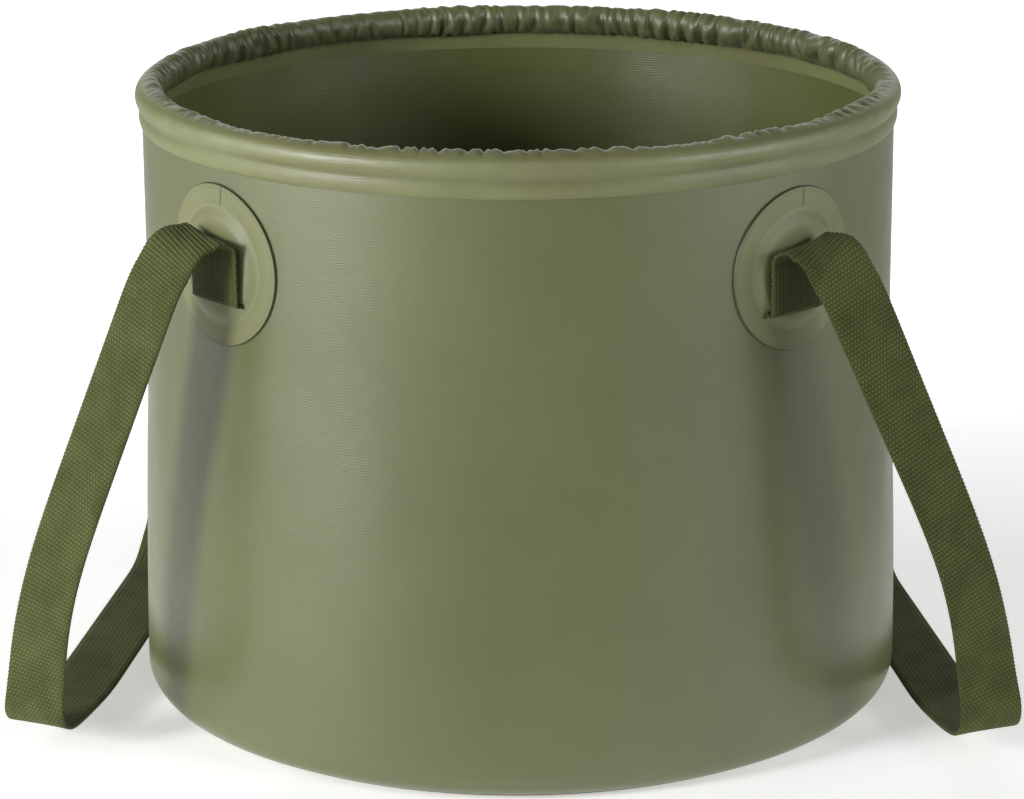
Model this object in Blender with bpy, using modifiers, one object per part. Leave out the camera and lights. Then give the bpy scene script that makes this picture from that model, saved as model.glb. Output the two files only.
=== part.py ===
"""Soft round washbasin of coated fabric with a hooped rim and two webbing handles.

The basin holds about 20 litres and folds down on itself. It stands on the floor with
the middle of its base at the origin and +Z up. One handle hangs outside the wall on the
left (-X) and one on the right (+X), each from a front and a back patch.
"""

import math

import bmesh
import bpy
from mathutils import Matrix, Vector

# Basin
BASIN_RADIUS = 0.155
BASIN_HEIGHT = 0.260
SHEET = 0.0009
GAP = 0.0003
CORNER_RADIUS = 0.016
FLOOR_LAP = 0.018
SEAM_WIDTH = 0.022
SEAM_RISE = 0.0006
SEAM_END_ROOM = 0.0015

# Rim: a plastic hoop in a gathered sleeve, seen from outside as a smooth bead and a hem
HOOP_DIAMETER = 0.0080
HOOP_WALL = 0.0014
HOOP_COLLAR = 0.0040
HOOP_PIN_LENGTH = 0.018
BEAD_STAND_OUT = 0.0027
OUTER_HEM = 0.0175
INNER_HEM = 0.0200
GATHER_DEPTH = 0.0016
GATHER_TOP_SHARE = 0.35
GATHER_WAVES = (0.62, 0.23, 0.41)

# Patches that carry the webbing
PATCH_ANGLE = 44.0
PATCH_CENTRE_BELOW_TOP = 0.0555
PATCH_RADIUS = 0.0320
POCKET_RADIUS = 0.0240
POCKET_RAMP = 0.0025
SLIT_BELOW_CENTRE = 0.0155
SLIT_ROOM = 0.0009
TAIL_TOP = 0.0140
TAIL_SLIT_ROOM = 0.0029

# Webbing and the route of a handle
WEBBING_WIDTH = 0.0280
WEBBING_THICKNESS = 0.0014
TURN_RADIUS = 0.0015
ROOT_STAND_OFF = 0.0055
FOLD_STAND_OFF = 0.0078
FOLD_ABOVE_CENTRE = 0.0120
FOLD_RADIUS = 0.0040
SHOULDER_REACH = 0.0120
SHOULDER_SPREAD = 0.0080
SHOULDER_RADIUS = 0.0110
KNEE_HEIGHT = 0.0700
KNEE_ALONG = 0.1175
FRONT_KNEE_REACH = 0.0290
BACK_KNEE_REACH = 0.0020
KNEE_RADIUS = 0.4000
FRONT_CORNER_REACH = 0.0400
BACK_CORNER_REACH = 0.0115
CORNER_ALONG = 0.1160
CORNER_BEND_RADIUS = 0.0180
RUN_REACH = 0.0255
RUN_ALONG = -0.0650
RUN_BEND_RADIUS = 0.1200
STRAP_GROUND_ROOM = 0.0095
FLEXIBLE_LENGTH = 0.1150

# Turn of the webbing's width direction away from X, in degrees
ROOT_TWIST = 90.0 - PATCH_ANGLE
SHOULDER_TWIST = 38.0
KNEE_TWIST = 33.0
CORNER_TWIST = 36.0
RUN_TWIST = 12.0

# Fineness of the round shapes
ROUND_STEPS = 68
CORNER_STEPS = 4
SLEEVE_STEPS = 6
PATCH_STEPS = 28
STRAP_STEP = 0.0090
ARC_STEP = math.radians(24.0)
RIBBON_LANES = 4
MERGE = 0.00001

# Places that follow from the sizes
FLOOR_TOP = SHEET + GAP
HOOP_RADIUS = HOOP_DIAMETER / 2
BORE_RADIUS = HOOP_RADIUS + GAP
SKIN_RADIUS = BORE_RADIUS + SHEET
HOOP_CENTRE = BASIN_RADIUS + BEAD_STAND_OUT - SKIN_RADIUS
HOOP_HEIGHT = BASIN_HEIGHT - SKIN_RADIUS / math.cos(math.pi / SLEEVE_STEPS)
WALL_TOP = HOOP_HEIGHT - BORE_RADIUS - GAP
PATCH_HEIGHT = BASIN_HEIGHT - PATCH_CENTRE_BELOW_TOP
BASE_OUT = GAP + SHEET
WEBBING_OUT = BASE_OUT + GAP + WEBBING_THICKNESS / 2
POCKET_UNDER = WEBBING_OUT + WEBBING_THICKNESS / 2 + GAP

AZIMUTHS = {
    "front_left": 180.0 + PATCH_ANGLE,
    "front_right": 360.0 - PATCH_ANGLE,
    "back_left": 180.0 - PATCH_ANGLE,
    "back_right": PATCH_ANGLE,
}


def clear_scene():
    """Remove every object that the new scene came with."""
    for item in list(bpy.data.objects):
        bpy.data.objects.remove(item, do_unlink=True)


def new_collection(name):
    """Return a new collection linked to the scene."""
    collection = bpy.data.collections.new(name)
    bpy.context.scene.collection.children.link(collection)
    return collection


def new_material(name, colour, roughness, metallic=0.0):
    """Return a plain material of one colour."""
    material = bpy.data.materials.new(name)
    material.use_nodes = True
    shader = material.node_tree.nodes["Principled BSDF"]
    shader.inputs["Base Color"].default_value = (*colour, 1.0)
    shader.inputs["Roughness"].default_value = roughness
    shader.inputs["Metallic"].default_value = metallic
    return material


clear_scene()
PARTS = new_collection("soft_washbasin")
CUTTERS = new_collection("cutters")

COATED_SHEET = new_material("coated_sheet", (0.205, 0.223, 0.127), 0.42)
RIM_SHEET = new_material("rim_sheet", (0.110, 0.116, 0.055), 0.45)
BASE_SHEET = new_material("base_sheet", (0.150, 0.165, 0.085), 0.50)
PATCH_SHEET = new_material("patch_sheet", (0.215, 0.225, 0.125), 0.40)
WEBBING = new_material("webbing", (0.076, 0.102, 0.023), 0.85)
HOOP_PLASTIC = new_material("hoop_plastic", (0.030, 0.030, 0.030), 0.45)
PLUG_PLASTIC = new_material("plug_plastic", (0.330, 0.320, 0.290), 0.40)


def add_object(name, data, material, origin=(0.0, 0.0, 0.0)):
    """Put a mesh or curve whose points are in world places into the parts collection."""
    data.transform(Matrix.Translation(-Vector(origin)))
    if not data.materials:
        data.materials.append(material)
    item = bpy.data.objects.new(name, data)
    item.location = origin
    PARTS.objects.link(item)
    return item


def smooth(mesh, angle=35.0):
    """Shade a mesh smooth but for edges sharper than the angle in degrees."""
    mesh.shade_smooth()
    mesh.set_sharp_from_angle(angle=math.radians(angle))


def applied(item):
    """Return the evaluated mesh of an object, closed at its seams, and remove the object."""
    graph = bpy.context.evaluated_depsgraph_get()
    mesh = bpy.data.meshes.new_from_object(item.evaluated_get(graph))
    mesh.transform(item.matrix_world)
    bpy.data.objects.remove(item, do_unlink=True)
    edit = bmesh.new()
    edit.from_mesh(mesh)
    bmesh.ops.remove_doubles(edit, verts=edit.verts, dist=MERGE)
    bmesh.ops.dissolve_degenerate(edit, edges=edit.edges, dist=MERGE / 10)
    edit.to_mesh(mesh)
    edit.free()
    return mesh


def turned(outline, steps):
    """Return the mesh of a closed outline of (radius, height) turned round Z.

    The outline runs down its outer side and up its inner side.
    """
    mesh = bpy.data.meshes.new("outline")
    edges = [(k, (k + 1) % len(outline)) for k in range(len(outline))]
    mesh.from_pydata([(radius, 0.0, height) for radius, height in outline], edges, [])
    item = bpy.data.objects.new("outline", mesh)
    PARTS.objects.link(item)
    screw = item.modifiers.new("turn", "SCREW")
    screw.steps = steps
    screw.render_steps = steps
    screw.use_merge_vertices = True
    screw.merge_threshold = MERGE
    return applied(item)


def on_wall(azimuth, across, up, out):
    """Return the place on or off the wall near a patch.

    Across runs round the wall, up along it from the patch's centre and out away from it.
    """
    angle = math.radians(azimuth) + across / BASIN_RADIUS
    reach = BASIN_RADIUS + out
    return Vector((reach * math.cos(angle), reach * math.sin(angle), PATCH_HEIGHT + up))


def arc(centre, radius, start, end, steps):
    """Return points of an arc in (radius, height), its angles in degrees."""
    points = []
    for k in range(steps + 1):
        angle = math.radians(start + (end - start) * k / steps)
        points.append((centre[0] + radius * math.cos(angle), centre[1] + radius * math.sin(angle)))
    return points


def wrapped_plate(azimuth, width, low, high, middle_out, thickness, lanes):
    """Return the mesh of a plate that follows the wall's curve between two heights."""
    edit = bmesh.new()
    rows = 2
    grid = [[edit.verts.new(on_wall(azimuth, width * (k / lanes - 0.5), low + (high - low) * j / rows,
                                    middle_out)) for k in range(lanes + 1)] for j in range(rows + 1)]
    for j in range(rows):
        for k in range(lanes):
            edit.faces.new((grid[j][k], grid[j][k + 1], grid[j + 1][k + 1], grid[j + 1][k]))
    mesh = bpy.data.meshes.new("plate")
    edit.to_mesh(mesh)
    edit.free()
    return thickened(mesh, thickness)


def thickened(mesh, thickness):
    """Return an open surface given its thickness, half of it to either side."""
    item = bpy.data.objects.new("surface", mesh)
    PARTS.objects.link(item)
    solid = item.modifiers.new("thickness", "SOLIDIFY")
    solid.thickness = thickness
    solid.offset = 0.0
    return applied(item)


def make_bottom_panel():
    """Make the round floor sheet, which lies under the wall's turned-in lap."""
    edit = bmesh.new()
    radius = BASIN_RADIUS - CORNER_RADIUS
    bmesh.ops.create_cone(edit, cap_ends=True, segments=ROUND_STEPS, radius1=radius, radius2=radius,
                          depth=SHEET, matrix=Matrix.Translation((0.0, 0.0, SHEET / 2)))
    mesh = bpy.data.meshes.new("bottom_panel")
    edit.to_mesh(mesh)
    edit.free()
    smooth(mesh)
    add_object("bottom_panel", mesh, BASE_SHEET)


def make_side_wall():
    """Make the wall: a sheet turned in over the floor, with a lapped seam up its back."""
    centre = (BASIN_RADIUS - CORNER_RADIUS, FLOOR_TOP + CORNER_RADIUS)
    lap_end = centre[0] - FLOOR_LAP
    outline = [(BASIN_RADIUS, WALL_TOP)]
    outline += arc(centre, CORNER_RADIUS, 0.0, -90.0, CORNER_STEPS)
    outline += [(lap_end, FLOOR_TOP), (lap_end, FLOOR_TOP + SHEET)]
    outline += arc(centre, CORNER_RADIUS - SHEET, -90.0, 0.0, CORNER_STEPS)
    outline += [(BASIN_RADIUS - SHEET, WALL_TOP)]
    wall = add_object("side_wall", turned(outline, ROUND_STEPS), COATED_SHEET)

    low = centre[1] + SEAM_END_ROOM - PATCH_HEIGHT
    high = BASIN_HEIGHT - OUTER_HEM - SEAM_END_ROOM - PATCH_HEIGHT
    middle = (SEAM_RISE - SHEET / 2) / 2
    seam_mesh = wrapped_plate(90.0, SEAM_WIDTH, low, high, middle, SEAM_RISE + SHEET / 2, RIBBON_LANES)
    seam = bpy.data.objects.new("seam_lap", seam_mesh)
    CUTTERS.objects.link(seam)
    seam.display_type = "WIRE"
    seam.hide_render = True
    union = wall.modifiers.new("seam", "BOOLEAN")
    union.operation = "UNION"
    union.object = seam
    mesh = applied(wall)
    smooth(mesh)
    add_object("side_wall", mesh, COATED_SHEET)


def sleeve_outline():
    """Return the rim sleeve's section: over the hoop and down both sides of the wall."""
    centre = (HOOP_CENTRE, HOOP_HEIGHT)
    outer_leg = BASIN_RADIUS + GAP
    inner_leg = BASIN_RADIUS - SHEET - GAP
    skin = SKIN_RADIUS / math.cos(math.pi / SLEEVE_STEPS)
    bore = BORE_RADIUS / math.cos(math.pi / SLEEVE_STEPS)
    skin_end = -math.degrees(math.acos((outer_leg + SHEET - HOOP_CENTRE) / skin))
    skin_start = 360.0 - math.degrees(math.acos((inner_leg - SHEET - HOOP_CENTRE) / skin))
    bore_start = -math.degrees(math.acos((outer_leg - HOOP_CENTRE) / bore))
    bore_end = 360.0 - math.degrees(math.acos((inner_leg - HOOP_CENTRE) / bore))
    outer_low = BASIN_HEIGHT - OUTER_HEM
    inner_low = BASIN_HEIGHT - INNER_HEM
    outline = arc(centre, skin, skin_start, skin_end, SLEEVE_STEPS)
    outline += [(outer_leg + SHEET, outer_low), (outer_leg, outer_low)]
    outline += arc(centre, bore, bore_start, bore_end, SLEEVE_STEPS)
    outline += [(inner_leg, inner_low), (inner_leg - SHEET, inner_low)]
    return outline


def gather(index):
    """Return how far the skin stands out, from 0 to 1, at a step round the rim."""
    wave = sum(math.sin(index * rate) for rate in GATHER_WAVES) / len(GATHER_WAVES)
    return (index % 2) * (0.65 + 0.35 * wave)


def make_rim_sleeve():
    """Make the sleeve: smooth outside, gathered over its top and down its inner side."""
    mesh = turned(sleeve_outline(), ROUND_STEPS)
    gathered = BASIN_RADIUS - SHEET - GAP - SHEET / 2
    for vertex in mesh.vertices:
        place = vertex.co
        reach = math.hypot(place.x, place.y)
        across, up = reach - HOOP_CENTRE, place.z - HOOP_HEIGHT
        on_skin = math.hypot(across, up) > BORE_RADIUS + SHEET
        if not on_skin or reach > gathered or up < -SKIN_RADIUS * 2:
            continue
        index = round(math.atan2(place.y, place.x) / (2 * math.pi) * ROUND_STEPS)
        inside = min(1.0, max(GATHER_TOP_SHARE, -across / SKIN_RADIUS))
        away = Vector((across * place.x / reach, across * place.y / reach, up)).normalized()
        vertex.co = place + away * GATHER_DEPTH * gather(index) * inside
    smooth(mesh, 60.0)
    add_object("rim_sleeve", mesh, RIM_SHEET)


def hoop_points(start, end, count):
    """Return points along the hoop's circle between two angles in degrees."""
    points = []
    for k in range(count + 1):
        angle = math.radians(start + (end - start) * k / count)
        points.append(Vector((HOOP_CENTRE * math.cos(angle), HOOP_CENTRE * math.sin(angle), HOOP_HEIGHT)))
    return points


def rod(name, points, radii, material, capped):
    """Add a round rod or tube along points, with a radius at each."""
    curve = bpy.data.curves.new(name, "CURVE")
    curve.dimensions = "3D"
    curve.bevel_depth = 1.0
    curve.bevel_resolution = 2
    curve.use_fill_caps = capped
    spline = curve.splines.new("POLY")
    spline.points.add(len(points) - 1)
    for point, place, radius in zip(spline.points, points, radii):
        point.co = (*place, 1.0)
        point.radius = radius
    item = bpy.data.objects.new(name, curve)
    PARTS.objects.link(item)
    curve.materials.append(material)
    return item


def make_hoop():
    """Make the hoop's tube, open at the back, and the plug that joins its two ends."""
    collar = math.degrees(HOOP_COLLAR / HOOP_CENTRE)
    room = math.degrees(GAP / HOOP_CENTRE)
    start = 90.0 + collar / 2 + room
    points = hoop_points(start, start + 360.0 - collar - 2 * room, ROUND_STEPS)
    item = rod("rim_hoop", points, [HOOP_RADIUS] * len(points), HOOP_PLASTIC, False)
    wall = item.modifiers.new("tube_wall", "SOLIDIFY")
    wall.thickness = HOOP_WALL
    wall.offset = -1.0
    mesh = applied(item)
    smooth(mesh, 50.0)
    add_object("rim_hoop", mesh, HOOP_PLASTIC)

    pin = math.degrees(HOOP_PIN_LENGTH / HOOP_CENTRE)
    pin_radius = HOOP_RADIUS - HOOP_WALL - GAP
    step = math.degrees(GAP / 2 / HOOP_CENTRE)
    stops = [-collar / 2 - pin, -collar / 2 - pin / 2, -collar / 2, -collar / 2 + step]
    radii = [pin_radius, pin_radius, pin_radius, HOOP_RADIUS]
    angles = [90.0 + stop for stop in stops] + [90.0 - stop for stop in reversed(stops)]
    places = [hoop_points(angle, angle, 1)[0] for angle in angles]
    item = rod("hoop_plug", places, radii + radii[::-1], PLUG_PLASTIC, True)
    mesh = applied(item)
    smooth(mesh, 50.0)
    add_object("hoop_plug", mesh, PLUG_PLASTIC)


def disc_on_wall(outline, azimuth):
    """Return a turned disc laid on the wall, its axis pointing out at a patch's centre."""
    mesh = turned(outline, PATCH_STEPS)
    for vertex in mesh.vertices:
        vertex.co = on_wall(azimuth, vertex.co.x, vertex.co.y, vertex.co.z)
    return mesh


def make_patch(place, azimuth):
    """Make a patch: a disc on the wall and a cover with a raised pocket and a slit."""
    rings = [PATCH_RADIUS, POCKET_RADIUS, POCKET_RADIUS - POCKET_RAMP, POCKET_RADIUS / 2, 0.0]
    outline = [(radius, BASE_OUT) for radius in reversed(rings)]
    outline += [(radius, GAP) for radius in rings]
    mesh = disc_on_wall(outline, azimuth)
    smooth(mesh)
    add_object("patch_base_" + place, mesh, PATCH_SHEET)

    rim_out = BASE_OUT + GAP
    under = [(radius, POCKET_UNDER if radius < POCKET_RADIUS else rim_out) for radius in rings]
    over = [(radius, height + SHEET) for radius, height in reversed(under)]
    cover = add_object("patch_cover_" + place, disc_on_wall(over + under, azimuth), PATCH_SHEET)

    edit = bmesh.new()
    bmesh.ops.create_cube(edit, size=1.0)
    cutter_mesh = bpy.data.meshes.new("slit_" + place)
    edit.to_mesh(cutter_mesh)
    edit.free()
    depth = 4 * SHEET + WEBBING_THICKNESS
    height = WEBBING_THICKNESS + 2 * SLIT_ROOM
    cutter_mesh.transform(Matrix.Diagonal((depth, WEBBING_WIDTH + 2 * SLIT_ROOM, height, 1.0)))
    cutter = bpy.data.objects.new("slit_" + place, cutter_mesh)
    CUTTERS.objects.link(cutter)
    cutter.location = on_wall(azimuth, 0.0, -SLIT_BELOW_CENTRE, POCKET_UNDER + SHEET / 2)
    cutter.rotation_euler = (0.0, 0.0, math.radians(azimuth))
    cutter.display_type = "WIRE"
    cutter.hide_render = True
    bpy.context.view_layer.update()
    slit = cover.modifiers.new("slit", "BOOLEAN")
    slit.operation = "DIFFERENCE"
    slit.object = cutter
    mesh = applied(cover)
    smooth(mesh)
    add_object("patch_cover_" + place, mesh, PATCH_SHEET)


def make_webbing_tail(place, azimuth):
    """Make the sewn end of the webbing, which lies flat under the patch's cover."""
    low = -SLIT_BELOW_CENTRE + TAIL_SLIT_ROOM
    mesh = wrapped_plate(azimuth, WEBBING_WIDTH, low, TAIL_TOP, WEBBING_OUT, WEBBING_THICKNESS, RIBBON_LANES)
    smooth(mesh)
    add_object("webbing_tail_" + place, mesh, WEBBING)


def rounded_path(corners, radii):
    """Return points along straight runs whose inner corners are rounded to the radii."""
    points = [corners[0]]
    for before, corner, after, radius in zip(corners, corners[1:], corners[2:], radii):
        toward = (before - corner).normalized()
        onward = (after - corner).normalized()
        half = toward.angle(onward) / 2
        centre = corner + (toward + onward).normalized() * (radius / math.sin(half))
        arm = corner + toward * (radius / math.tan(half)) - centre
        sweep = math.pi - 2 * half
        steps = max(2, math.ceil(sweep / ARC_STEP))
        axis = onward.cross(toward)
        for k in range(steps + 1):
            points.append(centre + Matrix.Rotation(sweep * k / steps, 3, axis) @ arm)
    points.append(corners[-1])
    return points


def handle_route():
    """Return the left handle's middle line, front to back, with a width direction at each point.

    The webbing leaves the front slit, rises, folds outward over its own root and hangs in a bow.
    Its front bottom corner stands further out than the back one, and it twists as it goes.
    """
    front, back = AZIMUTHS["front_left"], AZIMUTHS["back_left"]
    start = -SLIT_BELOW_CENTRE + TAIL_SLIT_ROOM - GAP

    def root(azimuth):
        return [
            on_wall(azimuth, 0.0, start, WEBBING_OUT),
            on_wall(azimuth, 0.0, -SLIT_BELOW_CENTRE, WEBBING_OUT),
            on_wall(azimuth, 0.0, -SLIT_BELOW_CENTRE, ROOT_STAND_OFF),
            on_wall(azimuth, 0.0, FOLD_ABOVE_CENTRE, FOLD_STAND_OFF),
        ]

    fold = root(front)[-1]
    low = STRAP_GROUND_ROOM + WEBBING_THICKNESS / 2
    outermost = -BASIN_RADIUS
    hanging = [
        fold + Vector((-SHOULDER_REACH, -SHOULDER_SPREAD, 0.0)),
        Vector((outermost - FRONT_KNEE_REACH, -KNEE_ALONG, KNEE_HEIGHT)),
        Vector((outermost - FRONT_CORNER_REACH, -CORNER_ALONG, low)),
        Vector((outermost - RUN_REACH, RUN_ALONG, low)),
        Vector((outermost - BACK_CORNER_REACH, CORNER_ALONG, low)),
        Vector((outermost - BACK_KNEE_REACH, KNEE_ALONG, KNEE_HEIGHT)),
        fold + Vector((-SHOULDER_REACH, SHOULDER_SPREAD - 2 * fold.y, 0.0)),
    ]
    corners = root(front) + hanging + root(back)[::-1]
    twists = [ROOT_TWIST] * 4 + [SHOULDER_TWIST, KNEE_TWIST, CORNER_TWIST]
    twists += [RUN_TWIST] + [-twist for twist in reversed(twists)]
    radii = [TURN_RADIUS, TURN_RADIUS, FOLD_RADIUS, SHOULDER_RADIUS, KNEE_RADIUS, CORNER_BEND_RADIUS]
    radii += [RUN_BEND_RADIUS] + radii[::-1]
    line = evenly_filled(rounded_path(corners, radii))
    marks = [nearest_length(line, corner) for corner in corners]
    return [(point, width_direction(line, k, marks, twists)) for k, point in enumerate(line)]


def evenly_filled(points):
    """Return the points with more between those that lie far apart."""
    filled = [points[0]]
    for point in points[1:]:
        last = filled[-1]
        steps = max(1, math.ceil((point - last).length / STRAP_STEP))
        filled += [last.lerp(point, k / steps) for k in range(1, steps + 1)]
    return [point for k, point in enumerate(filled) if k == 0 or (point - filled[k - 1]).length > MERGE]


def lengths_along(line):
    """Return the length from the first point to each point."""
    lengths = [0.0]
    for before, point in zip(line, line[1:]):
        lengths.append(lengths[-1] + (point - before).length)
    return lengths


def nearest_length(line, place):
    """Return how far along the line its point nearest a place is."""
    nearest = min(range(len(line)), key=lambda k: (line[k] - place).length)
    return lengths_along(line)[nearest]


def direction_at(line, k):
    """Return the line's direction at one of its points."""
    return (line[min(k + 1, len(line) - 1)] - line[max(k - 1, 0)]).normalized()


def width_direction(line, k, marks, twists):
    """Return the webbing's width direction at a point, square to the line."""
    length = lengths_along(line)[k]
    twist = twists[-1]
    for low, high, first, last in zip(marks, marks[1:], twists, twists[1:]):
        if length <= high:
            share = 0.0 if high <= low else (length - low) / (high - low)
            twist = first + (last - first) * share
            break
    angle = math.radians(twist)
    wide = Vector((-math.cos(angle), math.sin(angle), 0.0))
    along = direction_at(line, k)
    return (wide - along * wide.dot(along)).normalized()


def stretch(route, start, end):
    """Return the part of a route between two lengths, cut to them."""
    lengths = lengths_along([point for point, wide in route])
    part = []
    for (low, high), (one, two) in zip(zip(lengths, lengths[1:]), zip(route, route[1:])):
        for length in (start, end):
            if low <= length < high:
                share = (length - low) / (high - low)
                part.append((length, one[0].lerp(two[0], share), one[1].lerp(two[1], share).normalized()))
    part += [(length, *item) for length, item in zip(lengths, route) if start + GAP < length < end - GAP]
    part.sort(key=lambda item: item[0])
    return part


def ribbon(part, total):
    """Return webbing's mesh along a part of the route, curled to the wall at its roots."""
    root_length = FOLD_ABOVE_CENTRE + SLIT_BELOW_CENTRE
    edit = bmesh.new()
    rows = []
    for length, place, wide in part:
        from_root = min(length, total - length)
        curl = max(0.0, 1.0 - from_root / root_length)
        outward = Vector((place.x, place.y, 0.0)).normalized()
        row = []
        for k in range(RIBBON_LANES + 1):
            offset = WEBBING_WIDTH * (k / RIBBON_LANES - 0.5)
            drop = curl * offset * offset / (2 * BASIN_RADIUS)
            row.append(edit.verts.new(place + wide * offset - outward * drop))
        rows.append(row)
    for one, two in zip(rows, rows[1:]):
        for k in range(RIBBON_LANES):
            edit.faces.new((one[k], one[k + 1], two[k + 1], two[k]))
    mesh = bpy.data.meshes.new("ribbon")
    edit.to_mesh(mesh)
    edit.free()
    return thickened(mesh, WEBBING_THICKNESS)


def make_handle(side, mirror):
    """Make one handle: its loop and the two flexible ends that fold over at the patches."""
    route = handle_route()
    total = lengths_along([point for point, wide in route])[-1]
    pieces = {
        "strap_end_front_" + side: (0.0, FLEXIBLE_LENGTH - GAP / 2),
        "handle_loop_" + side: (FLEXIBLE_LENGTH + GAP / 2, total - FLEXIBLE_LENGTH - GAP / 2),
        "strap_end_back_" + side: (total - FLEXIBLE_LENGTH + GAP / 2, total - MERGE),
    }
    fold = on_wall(AZIMUTHS["front_left"], 0.0, FOLD_ABOVE_CENTRE, FOLD_STAND_OFF)
    hinge = Vector((mirror * fold.x, 0.0, fold.z - FOLD_RADIUS))
    for name, (start, end) in pieces.items():
        mesh = ribbon(stretch(route, start, end), total)
        if mirror < 0:
            mesh.transform(Matrix.Scale(-1.0, 4, Vector((1.0, 0.0, 0.0))))
            mesh.flip_normals()
        smooth(mesh)
        origin = hinge if name.startswith("handle_loop") else (0.0, 0.0, 0.0)
        add_object(name, mesh, WEBBING, origin)


make_bottom_panel()
make_side_wall()
make_hoop()
make_rim_sleeve()
for patch_place, patch_azimuth in AZIMUTHS.items():
    make_patch(patch_place, patch_azimuth)
    make_webbing_tail(patch_place, patch_azimuth)
make_handle("left", 1.0)
make_handle("right", -1.0)
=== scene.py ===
"""The visible pieces of a soft round washbasin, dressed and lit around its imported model.

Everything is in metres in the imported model's frame: +Z up, the base on z = 0, the left
handle at -X and the side that faces the camera at -Y. The basin is coated fabric with a
plastic hoop in a gathered rim sleeve. Two webbing handles hang from round patches.
"""

import logging
import math
from dataclasses import dataclass, field
from enum import Enum

import bmesh
import bpy
import numpy as np
from mathutils import Matrix, Vector

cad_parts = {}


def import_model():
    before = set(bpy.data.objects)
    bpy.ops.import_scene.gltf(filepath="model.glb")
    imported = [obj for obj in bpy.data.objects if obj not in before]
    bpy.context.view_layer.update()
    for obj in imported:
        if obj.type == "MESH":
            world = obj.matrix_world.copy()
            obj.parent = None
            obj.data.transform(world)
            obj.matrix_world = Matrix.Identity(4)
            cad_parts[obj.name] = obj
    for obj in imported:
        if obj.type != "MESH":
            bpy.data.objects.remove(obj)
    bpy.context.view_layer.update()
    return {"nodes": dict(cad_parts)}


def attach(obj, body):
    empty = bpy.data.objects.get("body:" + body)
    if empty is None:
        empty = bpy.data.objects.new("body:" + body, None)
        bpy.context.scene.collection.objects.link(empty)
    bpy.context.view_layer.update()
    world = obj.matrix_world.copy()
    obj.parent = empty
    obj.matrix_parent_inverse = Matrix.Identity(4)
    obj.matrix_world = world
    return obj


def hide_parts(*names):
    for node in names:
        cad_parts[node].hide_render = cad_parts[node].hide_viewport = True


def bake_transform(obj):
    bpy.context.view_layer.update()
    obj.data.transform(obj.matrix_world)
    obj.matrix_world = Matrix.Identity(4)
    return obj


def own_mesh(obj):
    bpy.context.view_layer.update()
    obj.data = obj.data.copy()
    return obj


LOG = logging.getLogger("washbasin")


class Body(Enum):
    """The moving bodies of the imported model."""

    RIM = "rim"
    BOTTOM = "bottom"
    ROOTS = "strap_roots"
    LEFT = "strap_left"
    RIGHT = "strap_right"


class Slot(Enum):
    """The record's material slots."""

    COATED = "coated_sheet"
    RIM = "rim_sheet"
    BASE = "base_sheet"
    PATCH = "patch_sheet"
    WEBBING = "webbing"
    HOOP = "hoop_plastic"
    PLUG = "plug_plastic"


class Held(Enum):
    """How a sheet of cloth is held."""

    STRETCHED = "stretched"
    GATHERED = "gathered"
    LAID = "laid"


class Place(Enum):
    """The four patches and their azimuth in degrees."""

    FRONT_LEFT = ("front_left", 224.0)
    FRONT_RIGHT = ("front_right", 316.0)
    BACK_LEFT = ("back_left", 136.0)
    BACK_RIGHT = ("back_right", 44.0)

    @property
    def label(self) -> str:
        """The place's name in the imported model."""
        return self.value[0]

    @property
    def azimuth(self) -> float:
        """The azimuth of the patch's middle, in degrees."""
        return self.value[1]

    @property
    def inward(self) -> float:
        """The way round the wall toward the middle of the front or the back, as a sign."""
        return 1.0 if self in (Place.FRONT_LEFT, Place.BACK_RIGHT) else -1.0


@dataclass(frozen=True)
class Sizes:
    """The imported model's own sizes, in metres, and the places that follow from them."""

    radius: float = 0.155
    height: float = 0.260
    sheet: float = 0.0009
    gap: float = 0.0003
    corner_radius: float = 0.016
    floor_lap: float = 0.018
    hoop_radius: float = 0.0040
    bead_stand_out: float = 0.0027
    outer_hem: float = 0.0175
    inner_hem: float = 0.0200
    patch_height: float = 0.2045
    patch_look_radius: float = 0.0324
    webbing_width: float = 0.0280
    webbing_thickness: float = 0.0014
    fixed_height: float = 0.2425
    lift: float = 0.200

    @property
    def bore(self) -> float:
        """Inner radius of the sleeve round the hoop."""
        return self.hoop_radius + self.gap

    @property
    def skin(self) -> float:
        """Outer radius of the sleeve round the hoop."""
        return self.bore + self.sheet

    @property
    def hoop_reach(self) -> float:
        """Distance of the hoop's middle line from the Z axis."""
        return self.radius + self.bead_stand_out - self.skin

    @property
    def hoop_height(self) -> float:
        """Height of the hoop's middle line."""
        return self.height - self.skin / math.cos(math.pi / 6)

    @property
    def wall_top(self) -> float:
        """Height of the wall's upper edge inside the sleeve."""
        return self.hoop_height - self.bore - self.gap

    @property
    def floor_top(self) -> float:
        """Height of the underside of the wall's lap on the floor sheet."""
        return self.sheet + self.gap

    @property
    def kept(self) -> float:
        """Share of the wall's height that is left when the bottom is lifted right under its lap."""
        return 1.0 - self.lift / (self.fixed_height - self.floor_top)

    def on_wall(self, azimuth: float, across: float, up: float, out: float) -> np.ndarray:
        """Place on or off the wall near a patch.

        Args:
            azimuth: The patch's azimuth, in degrees.
            across: Distance round the wall from the patch's middle.
            up: Height above the patch's middle.
            out: Distance off the wall.

        Returns:
            The point.
        """
        angle = math.radians(azimuth) + across / self.radius
        reach = self.radius + out
        return np.array((reach * math.cos(angle), reach * math.sin(angle), self.patch_height + up))


SIZES = Sizes()

Socket = bpy.types.NodeSocket
Colour = tuple[float, float, float]
Outline = list[tuple[float, float]]

FLOAT = "NodeSocketFloat"
VECTOR = "NodeSocketVector"
COLOUR = "NodeSocketColor"
GEOMETRY = "NodeSocketGeometry"
MATERIAL = "NodeSocketMaterial"


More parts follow.
